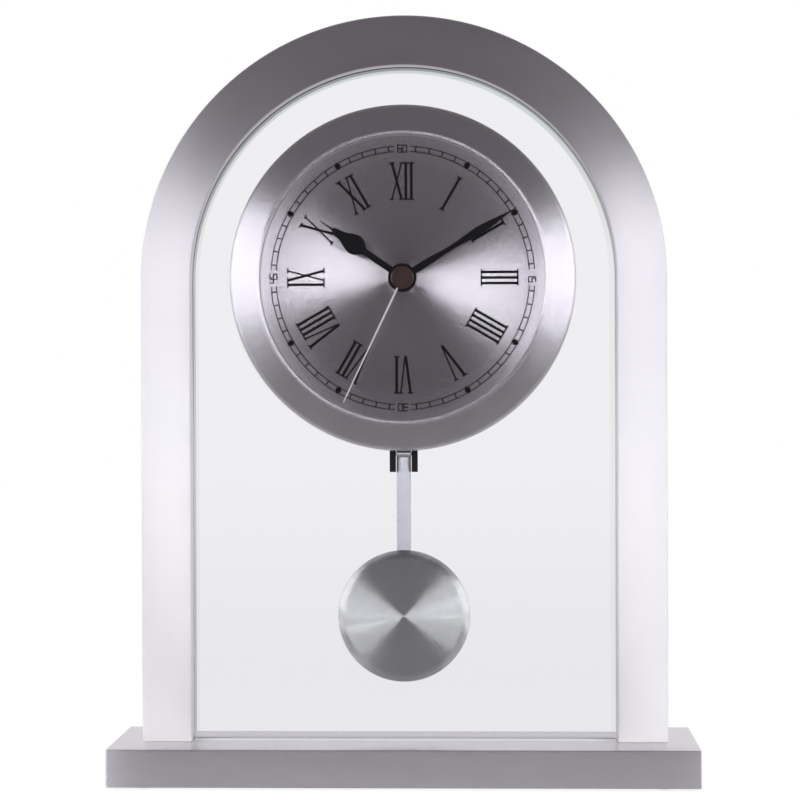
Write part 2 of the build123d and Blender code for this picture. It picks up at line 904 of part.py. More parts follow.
minute_wheel_phase = meshed_phase(cannon_teeth, 0, minute_wheel_direction, minute_wheel_teeth)
setting_phase = meshed_phase(minute_wheel_teeth, minute_wheel_phase, setting_direction, setting_teeth)
hour_wheel_phase = meshed_phase(minute_pinion_teeth, 0, minute_wheel_direction + half_turn, hour_wheel_teeth)
third_wheel_phase = meshed_phase(seconds_pinion_teeth, 0, third_wheel_direction, third_wheel_teeth)
centre_wheel_phase = meshed_phase(third_pinion_teeth, 0, third_wheel_direction + half_turn, centre_wheel_teeth)
intermediate_phase = meshed_phase(seconds_wheel_teeth, 0, intermediate_direction, intermediate_pinion_teeth)
rotor_phase = meshed_phase(intermediate_wheel_teeth, 0, rotor_direction, rotor_pinion_teeth)


def wheel(place, level, teeth, module, phase):
    return slab(Pos(*place) * gear_outline(teeth, module, phase), level, level + wheel_thickness)


def arbor(place, y_front, y_back, radius=arbor_radius):
    return disc(radius, y_front, y_back, *place)


def bridge_arbor(place):
    """An arbor that runs from the middle plate to the bridge."""
    return arbor(place, plate_level + pivot_gap, bridge_level + wheel_thickness / 2)


def collar(place, y_front, y_back):
    return disc(arbor_radius + hub_wall / 2, y_front, y_back, *place)


def make_cannon_pinion():
    """The minute pipe, with the pinion that drives the motion work."""
    pinion = wheel(centre_place, cannon_level, cannon_teeth, motion_module, 0)
    pipe = disc(cannon_radius, minute_hand_y - hand_boss_height, centre_level + wheel_thickness, 0, clock_z)
    bore = disc(cannon_bore, minute_hand_y - hand_boss_height - overrun, third_level, 0, clock_z)
    return pinion + pipe - bore


def make_hour_wheel():
    body = wheel(centre_place, hour_level, hour_wheel_teeth, hour_wheel_module, hour_wheel_phase)
    body += disc(hour_pipe_radius, hour_hand_y - hand_boss_height, hour_level, 0, clock_z)
    return body - disc(hour_pipe_bore, hour_hand_y - hand_boss_height - overrun, cannon_level, 0, clock_z)


def make_minute_wheel():
    """The wheel between the cannon pinion and the hour wheel, which turns on a stud of the case."""
    big = wheel(minute_wheel_place, cannon_level, minute_wheel_teeth, motion_module, minute_wheel_phase)
    small = wheel(minute_wheel_place, hour_level, minute_pinion_teeth, hour_wheel_module, 0)
    neck_radius = hour_wheel_module * (minute_pinion_teeth / 2 - dedendum_share)
    neck = arbor(minute_wheel_place, hour_level, cannon_level, neck_radius)
    bore = arbor(minute_wheel_place, hour_level - overrun, centre_level, arbor_radius + pivot_play)
    return big + small + neck - bore


def make_setting_arbor():
    pinion = wheel(setting_place, cannon_level, setting_teeth, motion_module, setting_phase)
    shaft = arbor(setting_place, case_inner_y - case_wall / 2, cannon_level)
    back = arbor(setting_place, cannon_level, cover_back_y + knob_gap + knob_height / 2, setting_arbor_radius)
    return pinion + shaft + back


def make_set_knob():
    """A ribbed knob on the back, for setting the hands."""
    front = cover_back_y + knob_gap
    back = front + knob_height
    knob = disc(knob_radius, front, back, *setting_place)
    knob = chamfer(knob.faces().sort_by(Axis.Y)[-1].edges(), knob_rib_radius)
    for rib in range(knob_ribs):
        x, z = step_from(setting_place, knob_radius, rib * full_turn / knob_ribs)
        knob -= disc(knob_rib_radius, front - overrun, back + overrun, x, z)
    bore = setting_arbor_radius + thread_play
    return knob - arbor(setting_place, front - overrun, front + knob_height / 2, bore)


def make_centre_wheel():
    """Grips the cannon pinion by friction, so that the hands can be set."""
    body = wheel(centre_place, centre_level, centre_wheel_teeth, centre_wheel_module, centre_wheel_phase)
    return body - arbor(centre_place, centre_level - overrun, third_level, cannon_radius + pivot_play)


def make_third_wheel():
    body = wheel(third_place, third_level, third_wheel_teeth, train_module, third_wheel_phase)
    body += wheel(third_place, centre_level, third_pinion_teeth, centre_wheel_module, 0)
    body += collar(third_place, centre_level, third_level)
    return body + arbor(third_place, case_inner_y - case_wall / 2, plate_level + wheel_thickness)


def make_seconds_wheel():
    body = wheel(centre_place, seconds_level, seconds_wheel_teeth, train_module, 0)
    body += wheel(centre_place, third_level, seconds_pinion_teeth, train_module, 0)
    return body + arbor(centre_place, second_hand_y - hand_thickness * 2, bridge_level + wheel_thickness / 2)


def make_intermediate_wheel():
    body = wheel(intermediate_place, intermediate_level, intermediate_wheel_teeth, train_module, 0)
    body += wheel(intermediate_place, seconds_level, intermediate_pinion_teeth, train_module,
                  intermediate_phase)
    body += collar(intermediate_place, seconds_level, intermediate_level)
    return body + bridge_arbor(intermediate_place)


def make_rotor():
    body = wheel(rotor_place, intermediate_level, rotor_pinion_teeth, train_module, rotor_phase)
    return body + bridge_arbor(rotor_place)


def make_rotor_magnet():
    back = rotor_level + rotor_magnet_length
    return tube(rotor_magnet_radius, arbor_radius + thread_play, rotor_level, back, *rotor_place)


# Movement case

def cover_post_places():
    x = case_half_width - cover_post_inset
    z = clock_z + case_top - cover_post_inset
    return [(-x, z), (x, z)]


def pillar_places():
    return [(x, clock_z + z) for x in (-plate_left + pillar_inset, plate_right - pillar_inset)
            for z in (-plate_low + pillar_inset, bridge_high - pillar_inset)]


def make_movement_case():
    width = case_half_width
    inner = bay_half_width
    body = block(-width, width, case_front_y, case_rim_y, clock_z + case_bottom, clock_z + case_top)
    body -= block(-inner, inner, case_inner_y, case_rim_y + overrun, clock_z - train_floor,
                  clock_z + case_top - case_wall)
    body -= block(-inner, inner, case_inner_y, case_rim_y + overrun, clock_z + bay_bottom, clock_z + bay_top)
    body += make_case_tail()
    for x, z in cover_post_places():
        body += disc(cover_post_radius, case_inner_y, case_rim_y, x, z)
        body -= disc(cover_screw_radius + thread_play, case_rim_y - cover_screw_grip,
                     case_rim_y + overrun, x, z)
    for x, z in pillar_places():
        body += disc(pillar_radius, case_inner_y, plate_level, x, z)
        body -= disc(bridge_screw_radius + thread_play, plate_level - bridge_screw_grip,
                     plate_level + overrun, x, z)
    body += arbor(minute_wheel_place, case_inner_y, centre_level - wheel_gap / 2)
    body -= disc(bush_radius + thread_play, case_front_y - overrun, case_inner_y + overrun, 0, clock_z)
    pivot_front = case_inner_y - case_wall / 2 - wheel_gap / 2
    for place in (third_place, setting_place):
        body -= arbor(place, pivot_front, case_inner_y, arbor_radius + pivot_play)
    return body


def make_case_tail():
    """The narrow lower end of the case, with the pendulum's pocket in front and its coil behind."""
    low = clock_z - tail_bottom
    high = clock_z + case_bottom
    pocket_half = tail_half_width - case_wall
    pocket_back = hanger_back_y + slot_clearance / 2
    coil_pocket_front = pocket_back + case_wall
    tail = block(-tail_half_width, tail_half_width, case_front_y, tail_back_y, low, high)
    tail -= block(-pocket_half, pocket_half, case_inner_y, pocket_back, low - overrun, high - case_wall / 2)
    tail -= block(-pocket_half, pocket_half, coil_pocket_front, tail_back_y + overrun,
                  low + case_wall, high - case_wall / 2)
    pin_place = (0, clock_z - pivot_drop)
    return tail - arbor(pin_place, case_inner_y - case_wall / 2, pocket_back + case_wall / 2,
                        pivot_pin_radius + thread_play)


def make_movement_cover():
    low = clock_z - train_floor - case_wall
    cover = block(-case_half_width, case_half_width, case_rim_y, cover_back_y, low, clock_z + case_top)
    cover -= arbor(setting_place, case_rim_y - overrun, cover_back_y + overrun,
                   setting_arbor_radius + pivot_play)
    for x, z in cover_post_places():
        cover -= disc(cover_screw_radius + bezel_play, case_rim_y - overrun, cover_back_y + overrun, x, z)
    return cover


def make_cover_screws():
    return group(machine_screw(x, z, cover_back_y, cover_screw_radius, cover_screw_head_radius,
                               cover_screw_head_height, cover_screw_grip) for x, z in cover_post_places())


def make_coil_cover():
    return block(-tail_half_width, tail_half_width, tail_back_y, tail_back_y + coil_cover_thickness,
                 clock_z - tail_bottom, clock_z + case_bottom)


def make_centre_bush():
    return tube(bush_radius, bush_bore, bush_front_y, case_inner_y, 0, clock_z)


def make_centre_washer():
    return tube(washer_radius, bush_radius + thread_play, dial_front_y - washer_thickness,
                dial_front_y, 0, clock_z)


def make_centre_nut():
    back = dial_front_y - washer_thickness
    outline = RegularPolygon(nut_across_flats / 2, 6, major_radius=False) - Circle(bush_radius + thread_play)
    return slab(Pos(0, clock_z) * outline, back - nut_thickness, back)


# Plates, motor and circuit

def make_middle_plate():
    back = plate_back_y
    plate = block(-plate_left, plate_right, plate_level, back, clock_z - plate_low, clock_z + plate_high)
    for x, z in stator_stud_places():
        plate += disc(board_post_radius, back, stator_level, x, z)
    holes = ((centre_place, arbor_radius), (third_place, arbor_radius), (setting_place, setting_arbor_radius))
    for place, radius in holes:
        plate -= arbor(place, plate_level - overrun, back + overrun, radius + pivot_play)
    for place in (intermediate_place, rotor_place):
        plate -= arbor(place, plate_level + pivot_gap / 2, back + overrun, arbor_radius + pivot_play)
    for x, z in pillar_places():
        plate -= disc(bridge_screw_radius + bezel_play, plate_level - overrun, back + overrun, x, z)
    return plate


def stator_stud_places():
    left = (-stator_left / 2, clock_z + (stator_low + stator_high) / 2 + pillar_radius)
    return [left, (stator_right - pillar_inset, clock_z + stator_low + pillar_radius)]


def make_train_bridge():
    back = bridge_back_y
    bridge = block(-plate_left, plate_right, bridge_level, back, clock_z - plate_low, clock_z + bridge_high)
    for x, z in pillar_places():
        bridge += disc(pillar_radius, plate_back_y, bridge_level, x, z)
        bridge -= disc(bridge_screw_radius + bezel_play, plate_back_y - overrun, back + overrun, x, z)
    pivot_back = bridge_level + wheel_thickness / 2 + pivot_gap
    for place in (centre_place, intermediate_place, rotor_place):
        bridge -= arbor(place, bridge_level - overrun, pivot_back, arbor_radius + pivot_play)
    for x, z in board_post_places():
        bridge += disc(board_post_radius, back, board_level, x, z)
    bore = setting_arbor_radius + pivot_play
    return bridge - arbor(setting_place, bridge_level - overrun, back + overrun, bore)


def board_post_places():
    z = clock_z + (board_low + bridge_high) / 2
    return [(x, z) for x in (board_left + 2 * board_post_radius, board_right - 2 * board_post_radius)]


def make_bridge_screws():
    grip = bridge_back_y - plate_level + bridge_screw_grip
    return group(machine_screw(x, z, bridge_back_y, bridge_screw_radius, bridge_screw_head_radius,
                               bridge_screw_head_height, grip) for x, z in pillar_places())


def make_circuit_board():
    return block(board_left, board_right, board_level, board_level + board_thickness,
                 clock_z + board_low, clock_z + board_high)


def make_chip_blob():
    """Resin over the chip."""
    back = board_level + board_thickness
    blob = disc(chip_radius, back, back + chip_height, *chip_place())
    return fillet(blob.faces().sort_by(Axis.Y)[-1].edges(), chip_round)


def chip_place():
    return (board_left + 2 * chip_radius, clock_z + board_high - 2 * chip_radius)


def make_crystal_can():
    y = board_level + board_thickness + crystal_radius
    x = board_right - crystal_length - board_post_radius
    return along_x(crystal_radius, x, x + crystal_length, y, clock_z + board_high - 2 * crystal_radius)


def make_stator():
    """The iron plate that carries the motor coil and closes round the rotor."""
    high = clock_z + stator_high
    back = stator_level + stator_thickness
    plate = block(-stator_left, stator_right, stator_level, back, clock_z + stator_low, high)
    window_high = high - stator_rail
    window_low = clock_z + stator_low + 2 * stator_rail
    plate -= block(stator_window_left, stator_right - stator_rail, stator_level - overrun, back + overrun,
                   window_low, window_high)
    return plate - disc(rotor_magnet_radius + rotor_gap, stator_level - overrun, back + overrun, *rotor_place)


def make_stepper_coil():
    """The motor's winding, round the top bar of the stator."""
    middle_x = (stator_window_left + stator_right - stator_rail) / 2
    middle_y = stator_level + stator_thickness / 2
    middle_z = clock_z + stator_high - stator_rail / 2
    half_bar = stator_rail / 2 + coil_play
    half_plate = stator_thickness / 2 + coil_play
    low_x = middle_x - coil_length / 2
    high_x = middle_x + coil_length / 2
    winding = block(low_x, high_x, middle_y - half_plate - coil_wrap, middle_y + half_plate + coil_wrap,
                    middle_z - half_bar - coil_wrap, middle_z + half_bar + coil_wrap)
    winding = fillet(winding.edges().filter_by(Axis.X), coil_wrap / 2)
    return winding - block(low_x - overrun, high_x + overrun, middle_y - half_plate, middle_y + half_plate,
                           middle_z - half_bar, middle_z + half_bar)


# Battery and its contacts

def battery_z():
    return clock_z + (bay_top + bay_bottom) / 2


def make_battery_cell():
    length = battery_length + battery_nub_length
    low = -length / 2
    high = low + battery_length
    can = along_x(battery_radius, low, high, battery_y, battery_z())
    can = fillet(can.edges(), battery_edge_round)
    nub_low = high - battery_edge_round
    return can + along_x(battery_nub_radius, nub_low, high + battery_nub_length, battery_y, battery_z())


def leaf_contact(wall_x, tip_x):
    """A folded leaf spring that stands on an end wall of the bay and reaches to the cell."""
    side = 1 if wall_x > tip_x else -1
    y_low = battery_y - contact_height / 2
    y_high = battery_y + contact_height / 2
    thick = side * contact_thickness
    outline = polygon([(wall_x, y_low), (wall_x, y_high), (wall_x - thick, y_high),
                       (wall_x - thick, y_low + contact_fold), (tip_x + thick, battery_y),
                       (tip_x + thick, y_high - contact_thickness), (tip_x, y_high - contact_thickness),
                       (tip_x, battery_y - contact_thickness), (wall_x - thick, y_low)])
    low = battery_z() - contact_height / 2
    return Pos(0, 0, low) * extrude(outline, amount=contact_height)


def make_positive_contact():
    tip = (battery_length + battery_nub_length) / 2
    return leaf_contact(bay_half_width, tip + bezel_play)


def make_negative_contact():
    tip = (battery_length + battery_nub_length) / 2
    return leaf_contact(-bay_half_width, -tip - bezel_play)


# Pendulum

def make_pivot_pin():
    back = hanger_back_y + slot_clearance / 2 + case_wall / 2
    return disc(pivot_pin_radius, case_inner_y - case_wall / 2, back, 0, clock_z - pivot_drop)


def make_pendulum_hanger():
    """The lever that the movement swings, which ends in a fork for the rod."""
    pivot_z = clock_z - pivot_drop
    yoke_top = clock_z - yoke_drop
    prong_low = clock_z - prong_bottom_drop
    boss_front = hanger_y - hanger_boss_thickness / 2
    boss_back = hanger_y + hanger_boss_thickness / 2
    lever = block(-hanger_half_width, hanger_half_width, hanger_front_y, hanger_back_y,
                  yoke_top - yoke_height / 2, pivot_z)
    lever += disc(hanger_boss_radius, boss_front, boss_back, 0, pivot_z)
    lever += disc(magnet_radius + hub_wall, hanger_front_y, hanger_back_y, 0, pivot_z - magnet_drop)
    yoke = block(-prong_span / 2, prong_span / 2, hanger_front_y, hanger_back_y, prong_low, yoke_top)
    inner = prong_span / 2 - prong_width
    yoke -= block(-inner, inner, hanger_front_y - overrun, hanger_back_y + overrun,
                  prong_low - overrun, yoke_top - yoke_height)
    lever += yoke
    lever -= disc(pivot_pin_radius + pivot_play, boss_front - overrun, boss_back + overrun, 0, pivot_z)
    lever -= disc(magnet_radius + thread_play, hanger_back_y - magnet_thickness, hanger_back_y + overrun,
                  0, pivot_z - magnet_drop)
    pin_z = clock_z - cross_pin_drop
    return lever - along_x(cross_pin_radius + thread_play, -prong_span, prong_span, hanger_y, pin_z)


def make_hanger_magnet():
    z = clock_z - pivot_drop - magnet_drop
    return disc(magnet_radius, hanger_back_y - magnet_thickness, hanger_back_y, 0, z)


def make_cross_pin():
    return along_x(cross_pin_radius, -prong_span / 2, prong_span / 2, hanger_y, clock_z - cross_pin_drop)


rod_half_width = prong_span / 2 - prong_width - eye_side_play
rod_back_y = hanger_y + rod_back_offset
bob_back_y = rod_back_y - rod_edge_thickness - rod_crown
bob_front_y = bob_back_y - bob_thickness


def rod_section(play):
    """The strip's flat back and crowned front, seen from above."""
    back = rod_back_y + play
    edge = rod_back_y - rod_edge_thickness - play
    crown = edge - rod_crown
    half = rod_half_width + play
    pieces = [Polyline((-half, edge), (-half, back), (half, back), (half, edge)),
              ThreePointArc((half, edge), (0, crown), (-half, edge))]
    return make_face(pieces)


def make_pendulum_rod():
    pin_z = clock_z - cross_pin_drop
    low = clock_z - bob_drop - socket_half_height + socket_wall
    strip = Pos(0, 0, low) * extrude(rod_section(0), amount=pin_z - eye_radius / 2 - low)
    eye = along_x(eye_radius, -rod_half_width, rod_half_width, hanger_y, pin_z)
    bore_end = rod_half_width + overrun
    return strip + eye - along_x(cross_pin_radius + pivot_play, -bore_end, bore_end, hanger_y, pin_z)


def make_pendulum_bob():
    flat = bob_radius - bob_rim
    middle_radius = flat + bob_rim * rim_out_share
    middle_fall = bob_rim_fall * rim_fall_share
    pieces = [
        Polyline((0, bob_back_y), (0, bob_front_y), (flat, bob_front_y)),
        ThreePointArc((flat, bob_front_y), (middle_radius, bob_front_y + middle_fall),
                      (bob_radius, bob_front_y + bob_rim_fall)),
        Polyline((bob_radius, bob_front_y + bob_rim_fall), (bob_radius, bob_back_y), (0, bob_back_y)),
    ]
    return spun(make_face(pieces), clock_z - bob_drop)


def make_bob_socket():
    """The block on the back of the bob that holds the foot of the rod."""
    low = clock_z - bob_drop - socket_half_height
    high = clock_z - bob_drop + socket_half_height
    floor = low + socket_wall - socket_play
    socket = block(-socket_half_width, socket_half_width, bob_back_y, rod_back_y + socket_wall, low, high)
    channel = Pos(0, 0, floor) * extrude(rod_section(socket_play), amount=high - low)
    opening = block(-rod_half_width / 2, rod_half_width / 2, bob_back_y - overrun,
                    rod_back_y - rod_edge_thickness, floor, high + overrun)
    return socket - channel - opening


def coil_level():
    return hanger_back_y + slot_clearance / 2 + case_wall


def make_pendulum_coil():
    front = coil_level()
    z = clock_z - pivot_drop - magnet_drop / 2
    return tube(drive_coil_radius, drive_coil_bore, front, front + drive_coil_length, 0, z)


makers = {
    "base_cover": make_base_cover,
    "base_core": make_base_core,
    "foot_pads": make_foot_pads,
    "leg_screws": make_leg_screws,
    "arch_frame": make_arch_frame,
    "glass_pane": make_glass_pane,
    "pane_gasket": make_pane_gasket,
    "drum_body": make_drum_body,
    "bezel_ring": make_bezel_ring,
    "lens_gasket": make_lens_gasket,
    "lens_glass": make_lens_glass,
    "dial_spacer": make_dial_spacer,
    "dial_plate": make_dial_plate,
    "dial_numerals": make_dial_numerals,
    "minute_track": make_minute_track,
    "track_figures": make_track_figures,
    "clamp_gasket": make_clamp_gasket,
    "clamp_plate": make_clamp_plate,
    "clamp_screws": make_clamp_screws,
    "movement_case": make_movement_case,
    "movement_cover": make_movement_cover,
    "cover_screws": make_cover_screws,
    "coil_cover": make_coil_cover,
    "centre_bush": make_centre_bush,
    "centre_washer": make_centre_washer,
    "centre_nut": make_centre_nut,
    "middle_plate": make_middle_plate,
    "train_bridge": make_train_bridge,
    "bridge_screws": make_bridge_screws,
    "circuit_board": make_circuit_board,
    "chip_blob": make_chip_blob,
    "crystal_can": make_crystal_can,
    "stator": make_stator,
    "stepper_coil": make_stepper_coil,
    "positive_contact": make_positive_contact,
    "negative_contact": make_negative_contact,
    "battery_cell": make_battery_cell,
    "pendulum_coil": make_pendulum_coil,
    "pivot_pin": make_pivot_pin,
    "cannon_pinion": make_cannon_pinion,
    "minute_hand": make_minute_hand,
    "hour_wheel": make_hour_wheel,
    "hour_hand": make_hour_hand,
    "minute_wheel": make_minute_wheel,
    "setting_arbor": make_setting_arbor,
    "set_knob": make_set_knob,
    "centre_wheel": make_centre_wheel,
    "third_wheel": make_third_wheel,
    "seconds_wheel": make_seconds_wheel,
    "second_hand": make_second_hand,
    "hand_cap": make_hand_cap,
    "intermediate_wheel": make_intermediate_wheel,
    "rotor": make_rotor,
    "rotor_magnet": make_rotor_magnet,
    "pendulum_hanger": make_pendulum_hanger,
    "hanger_magnet": make_hanger_magnet,
    "cross_pin": make_cross_pin,
    "pendulum_rod": make_pendulum_rod,
    "pendulum_bob": make_pendulum_bob,
    "bob_socket": make_bob_socket,
}

os.makedirs("parts", exist_ok=True)
for name, make in makers.items():
    save(name, make())
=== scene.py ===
from math import cos, hypot, pi, radians, sin

import bmesh
import bpy
from bpy.props import FloatProperty, FloatVectorProperty, PointerProperty
from bpy.types import Operator, Panel, PropertyGroup
from mathutils import Matrix, Vector


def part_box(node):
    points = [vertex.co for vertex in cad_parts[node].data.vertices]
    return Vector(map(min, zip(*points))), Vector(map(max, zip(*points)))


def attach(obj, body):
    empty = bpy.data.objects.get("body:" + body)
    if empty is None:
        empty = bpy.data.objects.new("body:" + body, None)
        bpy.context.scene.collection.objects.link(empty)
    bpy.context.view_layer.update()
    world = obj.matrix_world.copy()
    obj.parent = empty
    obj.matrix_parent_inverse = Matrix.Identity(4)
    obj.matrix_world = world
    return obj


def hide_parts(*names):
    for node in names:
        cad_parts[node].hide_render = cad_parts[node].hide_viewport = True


bl_info = {
    "name": "Desk pendulum clock",
    "version": (1, 0, 0),
    "blender": (4, 5, 0),
    "location": "3D View > Sidebar > Clock",
    "description": "A brushed aluminium arch clock with a glass pane and a hanging bob",
    "category": "Add Mesh",
}

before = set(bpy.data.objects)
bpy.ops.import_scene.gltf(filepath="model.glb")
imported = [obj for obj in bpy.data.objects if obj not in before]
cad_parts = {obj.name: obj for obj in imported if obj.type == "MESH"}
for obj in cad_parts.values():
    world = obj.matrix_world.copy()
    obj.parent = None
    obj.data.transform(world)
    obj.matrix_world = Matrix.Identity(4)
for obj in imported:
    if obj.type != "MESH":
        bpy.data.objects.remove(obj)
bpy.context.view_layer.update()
mm = 0.001

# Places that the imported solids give
BASE_LOW, BASE_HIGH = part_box("base_cover")
ARCH_LOW, ARCH_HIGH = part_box("arch_frame")
HEAD_LOW, HEAD_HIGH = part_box("bezel_ring")
DIAL_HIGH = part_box("dial_plate")[1]
BOB_LOW, BOB_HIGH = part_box("pendulum_bob")
PANE_LOW, PANE_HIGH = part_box("glass_pane")
GASKET_LOW, GASKET_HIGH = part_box("pane_gasket")
CAP_LOW, CAP_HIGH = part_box("hand_cap")
CLOCK_Z = (HEAD_LOW.z + HEAD_HIGH.z) / 2
BOB_Z = (BOB_LOW.z + BOB_HIGH.z) / 2
CLOCK_CENTRE = (0, 0, CLOCK_Z)
BOB_CENTRE = (0, 0, BOB_Z)


def length(name, description, default):
    return FloatProperty(name=name, description=description, default=default, unit="LENGTH")


def share(name, description, default):
    return FloatProperty(name=name, description=description, default=default, min=0, max=1, subtype="FACTOR")


def turn(name, description, degrees):
    return FloatProperty(name=name, description=description, default=radians(degrees), subtype="ANGLE")


def colour(name, description, default):
    return FloatVectorProperty(name=name, description=description, default=default, min=0, max=1, subtype="COLOR")


def place(name, description, default):
    return FloatVectorProperty(name=name, description=description, default=default, subtype="TRANSLATION")


class StandSettings(PropertyGroup):
    """Sizes of the base, the arch and the pane."""
    arch_face: length("Arch face", "Width of the arch's front face", 17.2 * mm)
    arch_bevel: length("Arch bevel", "Broken edge round the arch's outside", 0.6 * mm)
    mouth_bevel: length("Mouth bevel", "Broken edge round the arch's opening", 1.1 * mm)
    foot_bevel: length("Foot bevel", "Broken edge where the arch stands on the base", 0.12 * mm)
    groove_depth: length("Groove depth", "How far the glass stands into the arch", 3.5 * mm)
    groove_play: length("Groove play", "Air between the glass and the groove's walls", 0.15 * mm)
    skin: length("Skin", "Thickness of the base's aluminium skin", 0.8 * mm)
    base_corner: length("Base corners", "Rounding of the base's upright corners", 0.5 * mm)
    base_edge: length("Base edges", "Rounding of the base's top edges", 0.3 * mm)
    pane_edge: length("Pane edge", "Ground edge round the glass", 0.35 * mm)
    hole_radius: length("Hole radius", "Hole in the glass behind the head", 42 * mm)


class HeadSettings(PropertyGroup):
    """Sizes of the bezel, the cap and the bob."""
    opening_radius: length("Opening", "Radius of the bezel's opening", 48.6 * mm)
    lip_width: length("Lip width", "Raised lip round the opening", 1.6 * mm)
    lip_height: length("Lip height", "Thickness of the lip in front of the lens", 1.2 * mm)
    lip_round: length("Lip rounding", "Rounding of the lip", 0.5 * mm)
    edge_depth: length("Edge depth", "Depth of the bezel's side", 10.5 * mm)
    edge_round: length("Edge rounding", "Rounding between the bezel's side and face", 1.6 * mm)
    skirt: length("Skirt", "Wall round the drum", 1.5 * mm)
    seat_width: length("Seat", "How far the lens is wider than the opening", 0.9 * mm)
    slot_half_width: length("Hanger slot", "Half the width of the slot for the pendulum's hanger", 9.4 * mm)
    slot_front: length("Hanger slot front", "Depth at which the hanger's slot begins", -9.0 * mm)
    bob_rim: length("Bob rim", "Width of the bob's rounded rim", 2.4 * mm)
    bob_fall: length("Bob fall", "How far the rim falls back", 1.7 * mm)
    bob_round: length("Bob rounding", "Rounding where the rim bends", 0.6 * mm)
    bob_edge: length("Bob edge", "Rounding of the bob's outer edge", 0.3 * mm)
    cap_groove: length("Cap groove", "Ring turned into the cap's face", 0.25 * mm)
    cap_round: length("Cap rounding", "Rounding of the cap's front edge", 0.3 * mm)


class FinishSettings(PropertyGroup):
    """Colours and surfaces of the clock."""
    aluminium: colour("Aluminium", "Bare metal of the base and the bezel", (0.87, 0.85, 0.88))
    arch_silver: colour("Arch", "Bare metal of the arch above the legs", (0.84, 0.82, 0.835))
    # Painted light: the legs are painted paler towards their foot, standing in for the lamps' highlight there
    arch_foot_painted_light: colour("Arch's foot", "Paler metal at the foot of each leg", (1.0, 0.985, 0.96))
    dial_silver: colour("Dial", "Spun metal of the dial", (0.86, 0.83, 0.835))
    # Painted light: the dial's outer ring and the spacer wall are painted paler, against the bezel's shadow in the
    # well
    dial_well_painted_light: colour("Dial rim", "Paler metal round the track", (0.97, 0.95, 0.96))
    bob_silver: colour("Bob", "Spun metal of the pendulum's bob", (0.745, 0.765, 0.745))
    brush_spread: FloatProperty(name="Brush spread", description="How far the brushing tilts the light",
                                default=2.3, min=0, max=5)
    glass_tint: colour("Glass", "Tint of the pane near the base", (0.765, 0.745, 0.79))
    glass_top: colour("Glass above", "Tint of the pane from half its height up", (0.885, 0.87, 0.90))
    glass_edge: colour("Glass edge", "Green tint of the pane along its edge", (0.44, 0.50, 0.485))
    # Painted shade: a dark band along the pane's foot, just above its channel
    glass_foot_painted_shade: colour("Glass foot", "Tint of the pane just above its channel", (0.60, 0.59, 0.62))
    ink: colour("Ink", "Printed numerals and track", (0.003, 0.003, 0.003))
    hand_black: colour("Hands", "Painted hour and minute hands", (0.004, 0.004, 0.004))
    plastic: colour("Plastic", "Moulded movement case", (0.022, 0.022, 0.024))


class StageSettings(PropertyGroup):
    """The room that the clock is photographed in."""
    eye: place("Eye", "Where the camera stands", (31.28 * mm, -875.55 * mm, 132.47 * mm))
    lens: FloatProperty(name="Lens", description="Focal length on a 36 mm sensor, in millimetres", default=113.76)
    yaw: turn("Yaw", "Turn of the camera to its left", 2.144)
    pitch: turn("Pitch", "Rise of the camera's aim", -0.096)
    roll: turn("Roll", "Roll of the camera", -0.19)
    lamp_distance: length("Lamp distance", "From the clock's axis to each lamp", 0.66)
    lamp_turn: turn("Lamp turn", "Angle of each lamp from the front", 52)
    lamp_width: length("Lamp width", "Width of each soft box", 0.40)
    lamp_height: length("Lamp height", "Height of each soft box", 0.43)
    left_lamp_rise: length("Left lamp height", "Height of the left lamp's centre", 0.235)
    right_lamp_rise: length("Right lamp height", "Height of the right lamp's centre", 0.20)
    left_lamp_lean: turn("Left lamp lean", "Lean of the left lamp towards the camera's axis", 6)
    right_lamp_lean: turn("Right lamp lean", "Lean of the right lamp towards the camera's axis", 0)
    lamp_power: FloatProperty(name="Lamp power", description="Power of each lamp", default=1.71, unit="POWER")
    lamp_tint: colour("Lamp tint", "Colour of the lamps' light", (0.925, 0.928, 1.0))
    room_grey: share("Room", "Brightness of the room on matt surfaces", 0.42)
    front_dark: colour("Front", "The dim room that polished metal mirrors from the camera's side",
                       (0.118, 0.106, 0.121))
    floor_radius: length("Floor radius", "Radius of the pale floor", 3.0)
    floor_glow: share("Floor glow", "Share of the floor's white that needs no light", 0.9)


# Shader maths

class Field:
    """A number that varies over a surface. Python's operators turn it into Math nodes."""

    def __init__(self, recipe, socket):
        self.recipe = recipe
        self.socket = socket

    def joined(self, operation, *others):
        return self.recipe.number(operation, self, *others)

    def __add__(self, other):
        return self.joined("ADD", other)

    def __radd__(self, other):
        return self.recipe.number("ADD", other, self)

    def __sub__(self, other):
        return self.joined("SUBTRACT", other)

    def __rsub__(self, other):
        return self.recipe.number("SUBTRACT", other, self)

    def __mul__(self, other):
        return self.joined("MULTIPLY", other)

    def __rmul__(self, other):
        return self.recipe.number("MULTIPLY", other, self)

    def __truediv__(self, other):
        return self.joined("DIVIDE", other)

    def __neg__(self):
        return self.joined("MULTIPLY", -1)

    def __abs__(self):
        return self.joined("ABSOLUTE")


